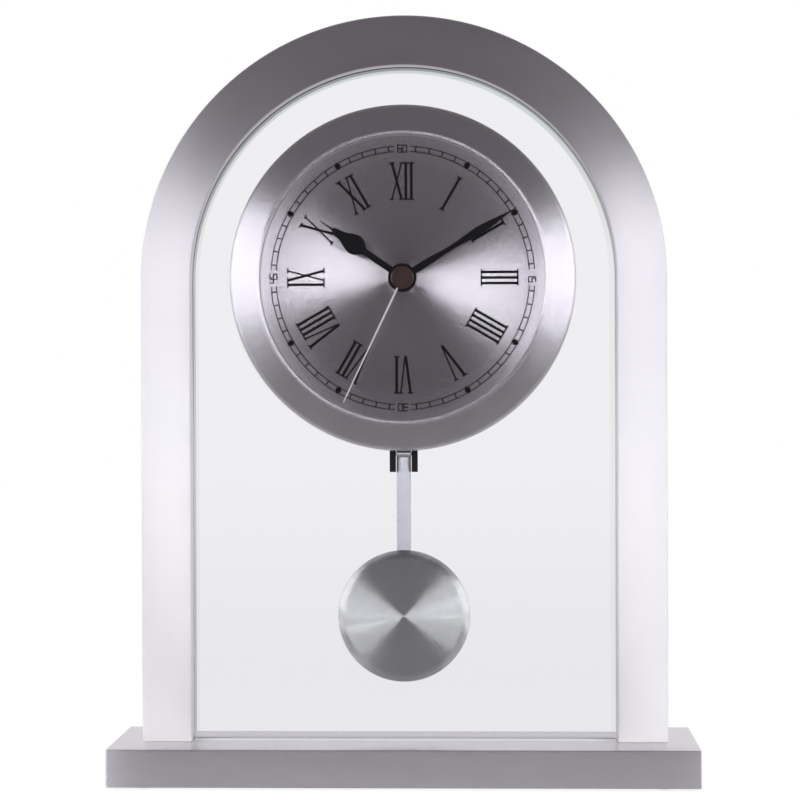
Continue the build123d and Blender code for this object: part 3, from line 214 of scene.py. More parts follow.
class Recipe:
    """The nodes of one finish."""

    def __init__(self, tree):
        self.tree = tree
        tree.nodes.clear()

    def node(self, kind, settings=None, inputs=None):
        """Adds a node: its settings first, then the values or links of its sockets."""
        made = self.tree.nodes.new(kind)
        for key, value in (settings or {}).items():
            setattr(made, key, value)
        for key, value in (inputs or {}).items():
            socket = made.inputs[key]
            if isinstance(value, Field):
                value = value.socket
            if isinstance(value, bpy.types.NodeSocket):
                self.tree.links.new(value, socket)
            elif hasattr(value, "__len__") and len(value) == 3 and len(socket.default_value) == 4:
                socket.default_value = (*value, 1)
            else:
                socket.default_value = value
        return made

    def number(self, operation, *values):
        made = self.node("ShaderNodeMath", {"operation": operation}, dict(enumerate(values)))
        return Field(self, made.outputs[0])

    def vector(self, operation, *values):
        made = self.node("ShaderNodeVectorMath", {"operation": operation}, dict(enumerate(values)))
        return made.outputs["Vector"]

    def scaled(self, vector, factor):
        made = self.node("ShaderNodeVectorMath", {"operation": "SCALE"}, {0: vector, "Scale": factor})
        return made.outputs["Vector"]

    def dot(self, first, second):
        made = self.node("ShaderNodeVectorMath", {"operation": "DOT_PRODUCT"}, {0: first, 1: second})
        return Field(self, made.outputs["Value"])

    def parts(self, vector):
        made = self.node("ShaderNodeSeparateXYZ", inputs={0: vector})
        return [Field(self, socket) for socket in made.outputs]

    def joined(self, x=0, y=0, z=0):
        return self.node("ShaderNodeCombineXYZ", inputs={0: x, 1: y, 2: z}).outputs[0]

    def place(self):
        return self.node("ShaderNodeTexCoord").outputs["Object"]

    def facing(self):
        """The surface's own direction, before the piece is moved."""
        return self.node("ShaderNodeTexCoord").outputs["Normal"]

    def noise(self, vector, scale, detail=2, roughness=0.5):
        made = self.node("ShaderNodeTexNoise", inputs={
            "Vector": vector, "Scale": scale, "Detail": detail, "Roughness": roughness})
        return Field(self, made.outputs[0])

    def blend(self, factor, first, second):
        """A colour between two colours."""
        made = self.node("ShaderNodeMix", {"data_type": "RGBA"}, {0: factor, 6: first, 7: second})
        return made.outputs[2]

    def between(self, value, low, high):
        """0 below low, 1 above high, smooth between them."""
        made = self.node("ShaderNodeMapRange", {"interpolation_type": "SMOOTHSTEP"},
                         {"Value": value, "From Min": low, "From Max": high})
        return Field(self, made.outputs[0])

    def bump(self, height, strength, distance):
        made = self.node("ShaderNodeBump", inputs={"Height": height, "Strength": strength, "Distance": distance})
        return made.outputs[0]

    def surface(self, shader):
        self.node("ShaderNodeOutputMaterial", inputs={"Surface": shader})

    def light_path(self, name):
        return Field(self, self.node("ShaderNodeLightPath").outputs[name])

    def by_ray(self, seen, mirrored, matt):
        """One shader for what the eye sees, also through glass, one for mirrors and one for matt surfaces."""
        mirrors = self.number("LESS_THAN", 0.5, self.light_path("Glossy Depth"))
        bounces = self.number("LESS_THAN", 0.5, self.light_path("Diffuse Depth"))
        first = self.node("ShaderNodeMixShader", inputs={0: mirrors, 1: seen, 2: mirrored}).outputs[0]
        return self.node("ShaderNodeMixShader", inputs={0: bounces, 1: first, 2: matt}).outputs[0]


def material(name):
    made = bpy.data.materials.get(name) or bpy.data.materials.new(name)
    made.use_nodes = True
    return made, Recipe(made.node_tree)


# Brushing: lines for each metre across, how they drift, and the length that one radian stands for
FINE_LINES = 2600
FINE_DRIFT = 900
BROAD_LINES = 70
BROAD_DRIFT = 30
BROAD_STREAK = 0.4
RING_LENGTH = 0.02
ARCH_LENGTH = 0.08
WALL_SHARE = 0.04   # share of the spread that the arch's walls keep
LIP_SPREAD = 0.95   # spread along the brushing, inside the lip
LIP_BLEND = 0.3 * mm
ROUGHNESS_PLAY = 0.06

# Where a finish changes: above the shelf, away from a piece's axis, or below the clock's centre
PANE_PALES = (30 * mm, 115 * mm)
PANE_EDGE = (70.4 * mm, 71.2 * mm)
# Painted light: the radii over which the dial is painted paler, against the bezel's shadow
DIAL_RIM_PAINTED_LIGHT = (34 * mm, 48 * mm)
# Painted light: the depths below the clock's centre over which the legs are painted paler
LEGS_PAINTED_LIGHT = (0, 100 * mm)
BEZEL_LIP = 49.9 * mm


def brushed(name, shade, roughness, spread, pattern, centre=(0, 0, 0), streak=40, visible=0.1, grain=0.02,
            rim=None, lip=None, spiral=0):
    """Metal with fine lines that spread light across them: in rings, along an arch, or straight.

    rim holds the two radii, or on an arch the two depths below its centre, between which the metal
    is painted paler as painted light. Inside the radius lip the lines run every way. spiral opens the rings
    outwards.
    """
    made, recipe = material(name)
    here = recipe.vector("SUBTRACT", recipe.place(), centre)
    facing = recipe.facing()
    x, _, z = recipe.parts(here)
    if pattern == "RINGS":
        along = recipe.number("ARCTAN2", x, z) * RING_LENGTH
        outward = recipe.joined(x, 0, z)
        brush = recipe.vector("CROSS_PRODUCT", outward, (0, 1, 0))
        brush = recipe.vector("ADD", brush, recipe.scaled(outward, spiral))
    elif pattern == "ARCH":
        over = recipe.number("MAXIMUM", z, 0)
        under = recipe.number("MAXIMUM", -z, 0)
        side = recipe.number("SIGN", x)
        along = recipe.number("ARCTAN2", x, over) * ARCH_LENGTH + side * under
        outward = recipe.joined(x, 0, over)
        brush = recipe.vector("CROSS_PRODUCT", outward, (0, 1, 0))
        brush = recipe.vector("ADD", brush, recipe.scaled(outward, spiral))
    elif pattern == "ALONG_Z":
        brush = (0, 0.001, 1)
        along = z
    else:
        brush = (1, 0.001, 0)
        along = x
    across = recipe.vector("NORMALIZE", recipe.vector("CROSS_PRODUCT", facing, brush))
    width = recipe.dot(here, across)
    speckle = recipe.node("ShaderNodeTexWhiteNoise", inputs={"Vector": here}).outputs["Color"]
    red, green, blue = recipe.parts(speckle)
    hair = (red + green + blue) / 3
    line = recipe.noise(recipe.joined(width * FINE_LINES, along * streak + width * FINE_DRIFT, 5), 1, 2, 0.6)
    broad = recipe.noise(recipe.joined(width * BROAD_LINES,
                                       along * streak * BROAD_STREAK + width * BROAD_DRIFT, 3),
                         1, 1)
    _, frontal, _ = recipe.parts(facing)
    scatter = spread * (WALL_SHARE + (1 - WALL_SHARE) * abs(frontal)) if pattern == "ARCH" else spread
    tilt = (hair - 0.5) * scatter + (line - 0.5) * visible
    tilted = recipe.vector("ADD", facing, recipe.scaled(across, tilt))
    if lip:
        reach = recipe.number("SQRT", x * x + z * z)
        polished = recipe.between(-reach, -lip, -lip + LIP_BLEND) * abs(z) / reach
        sideways = recipe.scaled(recipe.vector("NORMALIZE", brush), (blue - 0.5) * polished * LIP_SPREAD)
        tilted = recipe.vector("ADD", tilted, sideways)
    tilted = recipe.vector("NORMALIZE", tilted)
    normal = recipe.node("ShaderNodeVectorTransform",
                         {"vector_type": "NORMAL", "convert_from": "OBJECT", "convert_to": "WORLD"},
                         {0: tilted}).outputs[0]
    dull = tuple(part * (1 - 4 * grain) for part in shade)
    tone = recipe.blend(broad, dull, shade)
    # Painted light: the metal is painted paler between the rim's two limits
    if rim:
        rim_start, rim_end, rim_painted_light = rim
        reach = under if pattern == "ARCH" else recipe.number("SQRT", x * x + z * z)
        tone = recipe.blend(recipe.between(reach, rim_start, rim_end), tone, rim_painted_light)
    recipe.surface(recipe.node("ShaderNodeBsdfPrincipled", inputs={
        "Base Color": tone,
        "Roughness": roughness + (broad - 0.5) * ROUGHNESS_PLAY,
        "Metallic": 1.0,
        "Normal": normal,
    }).outputs[0])
    return made


def clear(name, tint, top_tint, low, high, edge=None):
    """Glass that lets the lamps' light through. Its tint pales upwards and deepens at its edge, and its foot is
    darkened by painted shade.
    """
    made, recipe = material(name)
    x, _, z = recipe.parts(recipe.place())
    shade = recipe.blend(recipe.between(z, low, high), tint, top_tint)
    if edge:
        edge_start, edge_end, edge_tint, foot_painted_shade = edge
        over = recipe.number("MAXIMUM", z - CLOCK_Z, 0)
        reach = recipe.number("SQRT", x * x + over * over)
        leg_share, bend = 0.25, 50 * mm
        arched = leg_share + (1 - leg_share) * recipe.between(over, 0, bend)
        shade = recipe.blend(recipe.between(reach, edge_start, edge_end) * arched, shade, edge_tint)
        # Painted shade: a darker band along the pane's foot, just above the channel
        foot = BASE_HIGH.z + 1.2 * mm
        shade = recipe.blend(recipe.between(z, foot, foot + 0.4 * mm), foot_painted_shade, shade)
    glass = recipe.node("ShaderNodeBsdfPrincipled", inputs={
        "Base Color": shade, "Roughness": 0.0, "IOR": 1.5, "Transmission Weight": 1.0}).outputs[0]
    through = recipe.node("ShaderNodeBsdfTransparent", inputs={"Color": (0.95, 0.95, 0.96)}).outputs[0]
    passing = recipe.number("MAXIMUM", recipe.light_path("Is Shadow Ray"), recipe.light_path("Is Glossy Ray"))
    recipe.surface(recipe.node("ShaderNodeMixShader", inputs={0: passing, 1: glass, 2: through}).outputs[0])
    return made


def moulded(name, shade, roughness=0.45, grain=1800, depth=0.00002, mottle=0.15, **constants):
    """Moulded plastic, rubber or paint with a fine grain."""
    made, recipe = material(name)
    here = recipe.place()
    fine = recipe.noise(here, grain, 3, 0.6)
    broad = recipe.noise(here, grain / 25, 2)
    pale = tuple(min(1, part * (1 + mottle) + 0.001) for part in shade)
    recipe.surface(recipe.node("ShaderNodeBsdfPrincipled", inputs={
        "Base Color": recipe.blend(broad, shade, pale),
        "Roughness": roughness + (fine - 0.5) * 0.15 + (broad - 0.5) * 0.1,
        "Normal": recipe.bump(fine, 0.35, depth),
        **{key.replace("_", " "): value for key, value in constants.items()},
    }).outputs[0])
    return made


def plain_metal(name, shade, roughness=0.3, grain=900, mottle=0.12):
    """Turned, stamped or plated metal."""
    made, recipe = material(name)
    here = recipe.place()
    fine = recipe.noise(here, grain, 3, 0.6)
    dull = tuple(part * (1 - mottle) for part in shade)
    recipe.surface(recipe.node("ShaderNodeBsdfPrincipled", inputs={
        "Base Color": recipe.blend(fine, dull, shade),
        "Roughness": roughness + (fine - 0.5) * 0.2,
        "Metallic": 1.0,
        "Normal": recipe.bump(fine, 0.2, 0.00002),
    }).outputs[0])
    return made


def fibreboard(name):
    made, recipe = material(name)
    here = recipe.place()
    chips = recipe.noise(recipe.vector("MULTIPLY", here, (300, 900, 900)), 1, 4, 0.65)
    recipe.surface(recipe.node("ShaderNodeBsdfPrincipled", inputs={
        "Base Color": recipe.blend(chips, (0.16, 0.09, 0.045), (0.42, 0.28, 0.16)),
        "Roughness": 0.75 + chips * 0.15,
        "Normal": recipe.bump(chips, 0.5, 0.0002),
    }).outputs[0])
    return made


def wound_copper(name):
    made, recipe = material(name)
    here = recipe.place()
    x, _, _ = recipe.parts(here)
    winding = 24000
    turns = recipe.number("SINE", x * winding)
    recipe.surface(recipe.node("ShaderNodeBsdfPrincipled", inputs={
        "Base Color": recipe.blend(recipe.noise(here, 700), (0.45, 0.14, 0.05), (0.68, 0.26, 0.1)),
        "Roughness": 0.32 + turns * 0.04,
        "Metallic": 0.85,
        "Normal": recipe.bump(turns, 0.4, 0.00005),
    }).outputs[0])
    return made


def battery_sleeve(name, low, high):
    """A plain shrink sleeve: dark, with a metal coloured shoulder at the positive end."""
    made, recipe = material(name)
    here = recipe.place()
    x, _, _ = recipe.parts(here)
    size = high - low
    shoulder_start, shoulder_end = 0.7, 0.704
    tip_start, tip_end = 0.468, 0.469
    shoulder = recipe.between(x, low + size * shoulder_start, low + size * shoulder_end)
    tip = recipe.between(abs(x - (low + high) / 2), size * tip_start, size * tip_end)
    scuffs = recipe.noise(here, 260, 4, 0.6)
    sleeve = recipe.blend(shoulder, (0.02, 0.02, 0.024), (0.55, 0.32, 0.12))
    recipe.surface(recipe.node("ShaderNodeBsdfPrincipled", inputs={
        "Base Color": recipe.blend(tip, sleeve, (0.6, 0.6, 0.58)),
        "Metallic": recipe.number("MAXIMUM", shoulder * 0.7, tip),
        "Roughness": 0.28 + scuffs * 0.15,
        "Normal": recipe.bump(scuffs, 0.1, 0.00005),
    }).outputs[0])
    return made


def printed_board(name):
    made, recipe = material(name)
    here = recipe.place()
    traces = recipe.node("ShaderNodeTexVoronoi", {"feature": "DISTANCE_TO_EDGE"},
                         {"Vector": here, "Scale": 420.0}).outputs[0]
    copper = recipe.between(traces, 0.1, 0.14)
    recipe.surface(recipe.node("ShaderNodeBsdfPrincipled", inputs={
        "Base Color": recipe.blend(copper, (0.02, 0.16, 0.06), (0.01, 0.09, 0.035)),
        "Roughness": 0.35,
        "Normal": recipe.bump(copper, 0.3, 0.00005),
    }).outputs[0])
    return made


def finishes(scene):
    """One finish for each of the clock's material slots."""
    look = scene.clock_finish
    spread = look.brush_spread
    metal = tuple(look.aluminium)
    battery_low, battery_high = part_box("battery_cell")
    return {
        "base_aluminium": brushed("base_aluminium", metal, 0.24, spread, "ALONG_X",
                                  streak=25, visible=0.3, grain=0.03),
        # The arch's legs are painted paler towards their foot: painted light
        "arch_aluminium": brushed("arch_aluminium", tuple(look.arch_silver), 0.34, spread * 1.2, "ARCH",
                                  CLOCK_CENTRE, spiral=0.05, rim=(*LEGS_PAINTED_LIGHT, tuple(look.arch_foot_painted_light))),
        "bezel_aluminium": brushed("bezel_aluminium", metal, 0.23, spread, "RINGS", CLOCK_CENTRE,
                                   spiral=-0.045, lip=BEZEL_LIP),
        # The dial's rim is painted paler: painted light against the bezel's shadow
        "dial_silver": brushed("dial_silver", tuple(look.dial_silver), 0.23, spread * 1.15, "RINGS", CLOCK_CENTRE,
                               visible=0.06, grain=0.01, spiral=-0.105,
                               rim=(*DIAL_RIM_PAINTED_LIGHT, tuple(look.dial_well_painted_light))),
        "bob_aluminium": brushed("bob_aluminium", tuple(look.bob_silver), 0.22, spread, "RINGS", BOB_CENTRE,
                                 spiral=0.12),
        # The spacer wall is painted paler too: painted light in the dial's well
        "spacer_silver": plain_metal("spacer_silver", tuple(look.dial_well_painted_light), 0.55),
        "rod_steel": brushed("rod_steel", (0.6, 0.61, 0.645), 0.25, spread, "ALONG_Z", streak=20),
        "pane_glass": clear("pane_glass", tuple(look.glass_tint), tuple(look.glass_top), *PANE_PALES,
                            (*PANE_EDGE, tuple(look.glass_edge), tuple(look.glass_foot_painted_shade))),
        "lens_glass": clear("lens_glass", (0.99, 0.99, 0.99), (0.99, 0.99, 0.99), 0.0, 1.0),
        "gasket_clear": moulded("gasket_clear", (0.95, 0.95, 0.96), 0.35, 1200, 0.00001, mottle=0.03),
        "fibreboard": fibreboard("fibreboard"),
        "pad_rubber": moulded("pad_rubber", (0.03, 0.03, 0.032), 0.7, 1400, 0.00004),
        "dial_ink": moulded("dial_ink", tuple(look.ink), 0.5, 2600, 0.00001, Specular_IOR_Level=0.15),
        "hand_black": moulded("hand_black", tuple(look.hand_black), 0.35, 2400, 0.000008, Specular_IOR_Level=0.25),
        "hand_white": moulded("hand_white", (0.62, 0.62, 0.61), 0.35, 2400, 0.000008),
        "cap_brown": moulded("cap_brown", (0.045, 0.026, 0.022), 0.16, 900, 0.000004, Coat_Weight=0.6),
        "screw_steel": plain_metal("screw_steel", (0.62, 0.62, 0.63), 0.3),
        "head_black": moulded("head_black", (0.022, 0.022, 0.024), 0.5),
        "case_black": moulded("case_black", tuple(look.plastic), 0.42),
        "hanger_black": moulded("hanger_black", (0.014, 0.013, 0.012), 0.4),
        "plate_plastic": moulded("plate_plastic", (0.55, 0.55, 0.52), 0.45),
        "wheel_plastic": moulded("wheel_plastic", (0.75, 0.74, 0.7), 0.4),
        "magnet_grey": plain_metal("magnet_grey", (0.3, 0.3, 0.31), 0.5),
        "turned_brass": plain_metal("turned_brass", (0.78, 0.58, 0.27), 0.25),
        "board_green": printed_board("board_green"),
        "resin_black": moulded("resin_black", (0.012, 0.012, 0.012), 0.25, 900, 0.00005),
        "can_metal": plain_metal("can_metal", (0.66, 0.65, 0.62), 0.22),
        "stator_iron": plain_metal("stator_iron", (0.42, 0.41, 0.4), 0.42),
        "copper_wire": wound_copper("copper_wire"),
        "spring_metal": plain_metal("spring_metal", (0.74, 0.72, 0.68), 0.25),
        "battery_sleeve": battery_sleeve("battery_sleeve", battery_low.x, battery_high.x),
        "socket_plastic": moulded("socket_plastic", (0.05, 0.05, 0.052), 0.45),
    }


# Mesh steps

TURN_STEPS = 256
HALF_STEPS = 128
CLOSE = 0.01 * mm
MERGE = 0.001 * mm


def edges_where(bm, test):
    """Edges whose two ends both pass a test on a corner's place."""
    return [edge for edge in bm.edges if all(test(corner.co) for corner in edge.verts)]


def near(value, target):
    return abs(value - target) < CLOSE


def rounded(bm, edges, width, segments=3):
    bmesh.ops.bevel(bm, geom=edges, offset=width, offset_type="OFFSET", affect="EDGES", segments=segments,
                    profile=0.5, material=-1, clamp_overlap=True)


def drawn_out(bm, faces, step):
    """Extrudes faces along a step and returns the new end."""
    made = bmesh.ops.extrude_face_region(bm, geom=faces)["geom"]
    bmesh.ops.translate(bm, verts=[item for item in made if isinstance(item, bmesh.types.BMVert)], vec=step)
    return [item for item in made if isinstance(item, bmesh.types.BMFace)]


def turned(section, height, closed=True):
    """Turns a section drawn as (radius, y) once round the line along y at a height."""
    bm = bmesh.new()
    line = [bm.verts.new((radius, y, height)) for radius, y in section]
    pairs = list(zip(line, line[1:]))
    if closed:
        pairs.append((line[-1], line[0]))
    edges = [bm.edges.new(pair) for pair in pairs]
    bmesh.ops.spin(bm, geom=line + edges, cent=(0, 0, height), axis=(0, 1, 0), angle=2 * pi,
                   steps=TURN_STEPS, use_merge=True)
    return bm


def ring_edges(bm, height, radius, y):
    """The edges of a turned piece at one radius and depth."""
    return edges_where(bm, lambda co: near(co.y, y) and near(hypot(co.x, co.z - height), radius))


def closed_up(bm):
    bmesh.ops.remove_doubles(bm, verts=bm.verts, dist=MERGE)
    bmesh.ops.recalc_face_normals(bm, faces=bm.faces)


def piece(name, bm, finish, body, *nodes, crease=25):
    """Makes a closed bmesh a finished piece that rides on a body and stands for its solids."""
    mesh = bpy.data.meshes.new(name)
    bm.to_mesh(mesh)
    bm.free()
    mesh.shade_smooth()
    mesh.set_sharp_from_angle(angle=radians(crease))
    mesh.materials.append(bpy.data.materials[finish])
    made = bpy.data.objects.new(name, mesh)
    bpy.context.scene.collection.objects.link(made)
    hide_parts(*nodes)
    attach(made, body)


def cut_box(bm, low, high):
    """Opens a slot with straight walls: cuts the mesh along a box's sides, and clears what lies inside it."""
    for axis in range(3):
        for limit in (low, high):
            if limit[axis] is None:
                continue
            normal = [0, 0, 0]
            normal[axis] = 1
            point = [0, 0, 0]
            point[axis] = limit[axis]
            bmesh.ops.bisect_plane(bm, geom=bm.verts[:] + bm.edges[:] + bm.faces[:], dist=0.0001 * mm,
                                   plane_co=point, plane_no=normal)
    inside = [face for face in bm.faces if all(
        (low[axis] is None or face.calc_center_median()[axis] > low[axis])
        and (high[axis] is None or face.calc_center_median()[axis] < high[axis]) for axis in range(3))]
    bmesh.ops.delete(bm, geom=inside, context="FACES")


class CLOCK_OT_arch(Operator):
    """Makes the brushed arch with its groove for the glass"""
    bl_idname = "clock.arch"
    bl_label = "Arch"

    def execute(self, context):
        sizes = context.scene.clock_stand
        outer = ARCH_HIGH.x
        inner = outer - sizes.arch_face
        front, back, foot = ARCH_LOW.y, ARCH_HIGH.y, ARCH_LOW.z
        groove_front = PANE_LOW.y - sizes.groove_play
        groove_back = PANE_HIGH.y + sizes.groove_play
        groove = inner + sizes.groove_depth
        bm = bmesh.new()
        section = [(outer, front), (outer, back), (inner, back), (inner, groove_back), (groove, groove_back),
                   (groove, groove_front), (inner, groove_front), (inner, front)]
        face = bm.faces.new([bm.verts.new((x, y, foot)) for x, y in section])
        leg = drawn_out(bm, [face], (0, 0, CLOCK_Z - foot))
        over = bmesh.ops.spin(bm, geom=leg, cent=CLOCK_CENTRE, axis=(0, 1, 0), angle=-pi, steps=HALF_STEPS)
        end = [item for item in over["geom_last"] if isinstance(item, bmesh.types.BMFace)]
        drawn_out(bm, end, (0, 0, foot - CLOCK_Z))
        bmesh.ops.remove_doubles(bm, verts=bm.verts, dist=MERGE)
        inner_walls = [f for f in bm.faces if all(near(v.co.z, CLOCK_Z) for v in f.verts)]
        bmesh.ops.delete(bm, geom=inner_walls, context="FACES_ONLY")

        for radius, width in ((outer, sizes.arch_bevel), (inner, sizes.mouth_bevel)):
            rim = [edge for edge in edges_where(bm, lambda co: near(hypot(co.x, max(co.z - CLOCK_Z, 0)), radius))
                   if near(edge.verts[0].co.y, edge.verts[1].co.y)
                   and (near(edge.verts[0].co.y, front) or near(edge.verts[0].co.y, back))]
            rounded(bm, rim, width, 2)
        feet = [e for e in edges_where(bm, lambda co: near(co.z, foot)) if e.calc_face_angle(0) > 1]
        rounded(bm, feet, sizes.foot_bevel, 1)
        closed_up(bm)
        piece("arch", bm, "arch_aluminium", "stand", "arch_frame")
        return {"FINISHED"}


class CLOCK_OT_base(Operator):
    """Makes the folded aluminium skin of the base, open below, with the slot for the glass"""
    bl_idname = "clock.base"
    bl_label = "Base"

    def execute(self, context):
        sizes = context.scene.clock_stand
        size = BASE_HIGH - BASE_LOW
        bm = bmesh.new()
        bmesh.ops.create_cube(bm, size=1)
        bmesh.ops.scale(bm, verts=bm.verts, vec=size)
        bmesh.ops.translate(bm, verts=bm.verts, vec=(BASE_LOW + BASE_HIGH) / 2)
        below = [f for f in bm.faces if near(f.calc_center_median().z, BASE_LOW.z)]
        bmesh.ops.delete(bm, geom=below, context="FACES_ONLY")
        uprights = [e for e in bm.edges if not near(e.verts[0].co.z, e.verts[1].co.z)]
        rounded(bm, uprights, sizes.base_corner)
        rounded(bm, [e for e in edges_where(bm, lambda co: near(co.z, BASE_HIGH.z)) if e.calc_face_angle(0) > 0.5],
                sizes.base_edge)
        half = GASKET_HIGH.x + sizes.groove_depth
        cut_box(bm, (-half, GASKET_LOW.y, BASE_HIGH.z - sizes.skin), (half, GASKET_HIGH.y, None))
        bmesh.ops.recalc_face_normals(bm, faces=bm.faces)
        bmesh.ops.solidify(bm, geom=bm.faces[:], thickness=sizes.skin)
        closed_up(bm)
        piece("base_skin", bm, "base_aluminium", "stand", "base_cover")
        return {"FINISHED"}


class CLOCK_OT_pane(Operator):
    """Makes the arched pane of glass with its round hole and ground edges"""
    bl_idname = "clock.pane"
    bl_label = "Pane"

    def execute(self, context):
        sizes = context.scene.clock_stand
        radius = PANE_HIGH.x
        facing = Matrix.Translation((0, PANE_LOW.y, CLOCK_Z)) @ Matrix.Rotation(pi / 2, 4, "X")
        bm = bmesh.new()
        bmesh.ops.create_circle(bm, segments=TURN_STEPS, radius=radius, matrix=facing)
        lower = [v for v in bm.verts if v.co.z < CLOCK_Z - MERGE]
        bmesh.ops.delete(bm, geom=lower, context="VERTS")
        ends = [v for v in bm.verts if len(v.link_edges) == 1]
        feet = bmesh.ops.extrude_vert_indiv(bm, verts=ends)["verts"]
        for foot in feet:
            foot.co.z = PANE_LOW.z
        bm.edges.new(feet)
        bmesh.ops.create_circle(bm, segments=TURN_STEPS, radius=sizes.hole_radius, matrix=facing)
        bmesh.ops.triangle_fill(bm, edges=bm.edges[:], use_beauty=True, use_dissolve=False,
                                normal=(0, -1, 0))
        drawn_out(bm, bm.faces[:], (0, PANE_HIGH.y - PANE_LOW.y, 0))
        closed_up(bm)
        rims = [e for e in bm.edges if e.calc_face_angle(0) > 1.2 and near(e.verts[0].co.y, e.verts[1].co.y)]
        rounded(bm, rims, sizes.pane_edge, 1)
        closed_up(bm)
        piece("pane", bm, "pane_glass", "stand", "glass_pane")
        return {"FINISHED"}


class CLOCK_OT_bezel(Operator):
    """Turns the bezel: a coned ring with a raised lip, and a slot below for the pendulum's hanger"""
    bl_idname = "clock.bezel"
    bl_label = "Bezel"

    def execute(self, context):
        sizes = context.scene.clock_head
        outer = HEAD_HIGH.x
        front, back = HEAD_LOW.y, HEAD_HIGH.y
        opening = sizes.opening_radius
        lip = opening + sizes.lip_width
        edge = back - sizes.edge_depth
        pocket = opening + sizes.seat_width
        drum = outer - sizes.skirt
        ledge = front + sizes.lip_height
        shelf = DIAL_HIGH.y
        bm = turned([(outer, back), (outer, sizes.slot_front), (outer, edge), (lip, front + 2 * sizes.lip_round),
                     (lip, front), (opening, front), (opening, ledge), (pocket, ledge), (pocket, shelf),
                     (drum, shelf), (drum, sizes.slot_front), (drum, back)], CLOCK_Z)
        bmesh.ops.recalc_face_normals(bm, faces=bm.faces)
        rounded(bm, ring_edges(bm, CLOCK_Z, outer, edge), sizes.edge_round, 6)
        rounded(bm, ring_edges(bm, CLOCK_Z, lip, front) + ring_edges(bm, CLOCK_Z, opening, front),
                sizes.lip_round, 4)
        half = sizes.slot_half_width
        cut_box(bm, (-half, sizes.slot_front, None), (half, None, CLOCK_Z))
        for side in (-half, half):
            gap = [e for e in bm.edges if e.is_boundary and all(near(v.co.x, side) for v in e.verts)]
            bmesh.ops.contextual_create(bm, geom=gap)
        roof = [e for e in bm.edges if e.is_boundary]
        bmesh.ops.contextual_create(bm, geom=roof)
        closed_up(bm)
        piece("bezel", bm, "bezel_aluminium", "stand", "bezel_ring")
        return {"FINISHED"}


class CLOCK_OT_bob(Operator):
    """Turns the bob: a flat spun face with a rounded rim"""
    bl_idname = "clock.bob"
    bl_label = "Bob"

    def execute(self, context):
        sizes = context.scene.clock_head
        radius = BOB_HIGH.x
        front, back = BOB_LOW.y, BOB_HIGH.y
        bend_in, bend_back = 0.4, 0.36
        rim = [(radius - sizes.bob_rim, front),
               (radius - sizes.bob_rim * bend_in, front + sizes.bob_fall * bend_back),
               (radius, front + sizes.bob_fall)]
        bm = turned([(0, front), *rim, (radius, back), (0, back)], BOB_Z, closed=False)
        closed_up(bm)
        for (reach, y), width in ((rim[0], sizes.bob_round), (rim[1], sizes.bob_round), (rim[2], sizes.bob_edge)):
            rounded(bm, ring_edges(bm, BOB_Z, reach, y), width, 4)
        closed_up(bm)
        piece("bob", bm, "bob_aluminium", "pendulum", "pendulum_bob", crease=40)
        return {"FINISHED"}


class CLOCK_OT_cap(Operator):
    """Turns the glossy cap in front of the hands"""
    bl_idname = "clock.cap"
    bl_label = "Cap"

    def execute(self, context):
        sizes = context.scene.clock_head
        radius = CAP_HIGH.x
        front, back = CAP_LOW.y, CAP_HIGH.y
        groove = sizes.cap_groove
        face = radius - 3 * groove
        bm = turned([(0, front), (face, front), (face, front + groove / 2), (face + groove, front + groove / 2),
                     (face + groove, front), (radius, front), (radius, back), (0, back)], CLOCK_Z, closed=False)
        closed_up(bm)
        rounded(bm, ring_edges(bm, CLOCK_Z, radius, front), sizes.cap_round, 4)
        closed_up(bm)
        piece("cap", bm, "cap_brown", "seconds", "hand_cap")
        return {"FINISHED"}


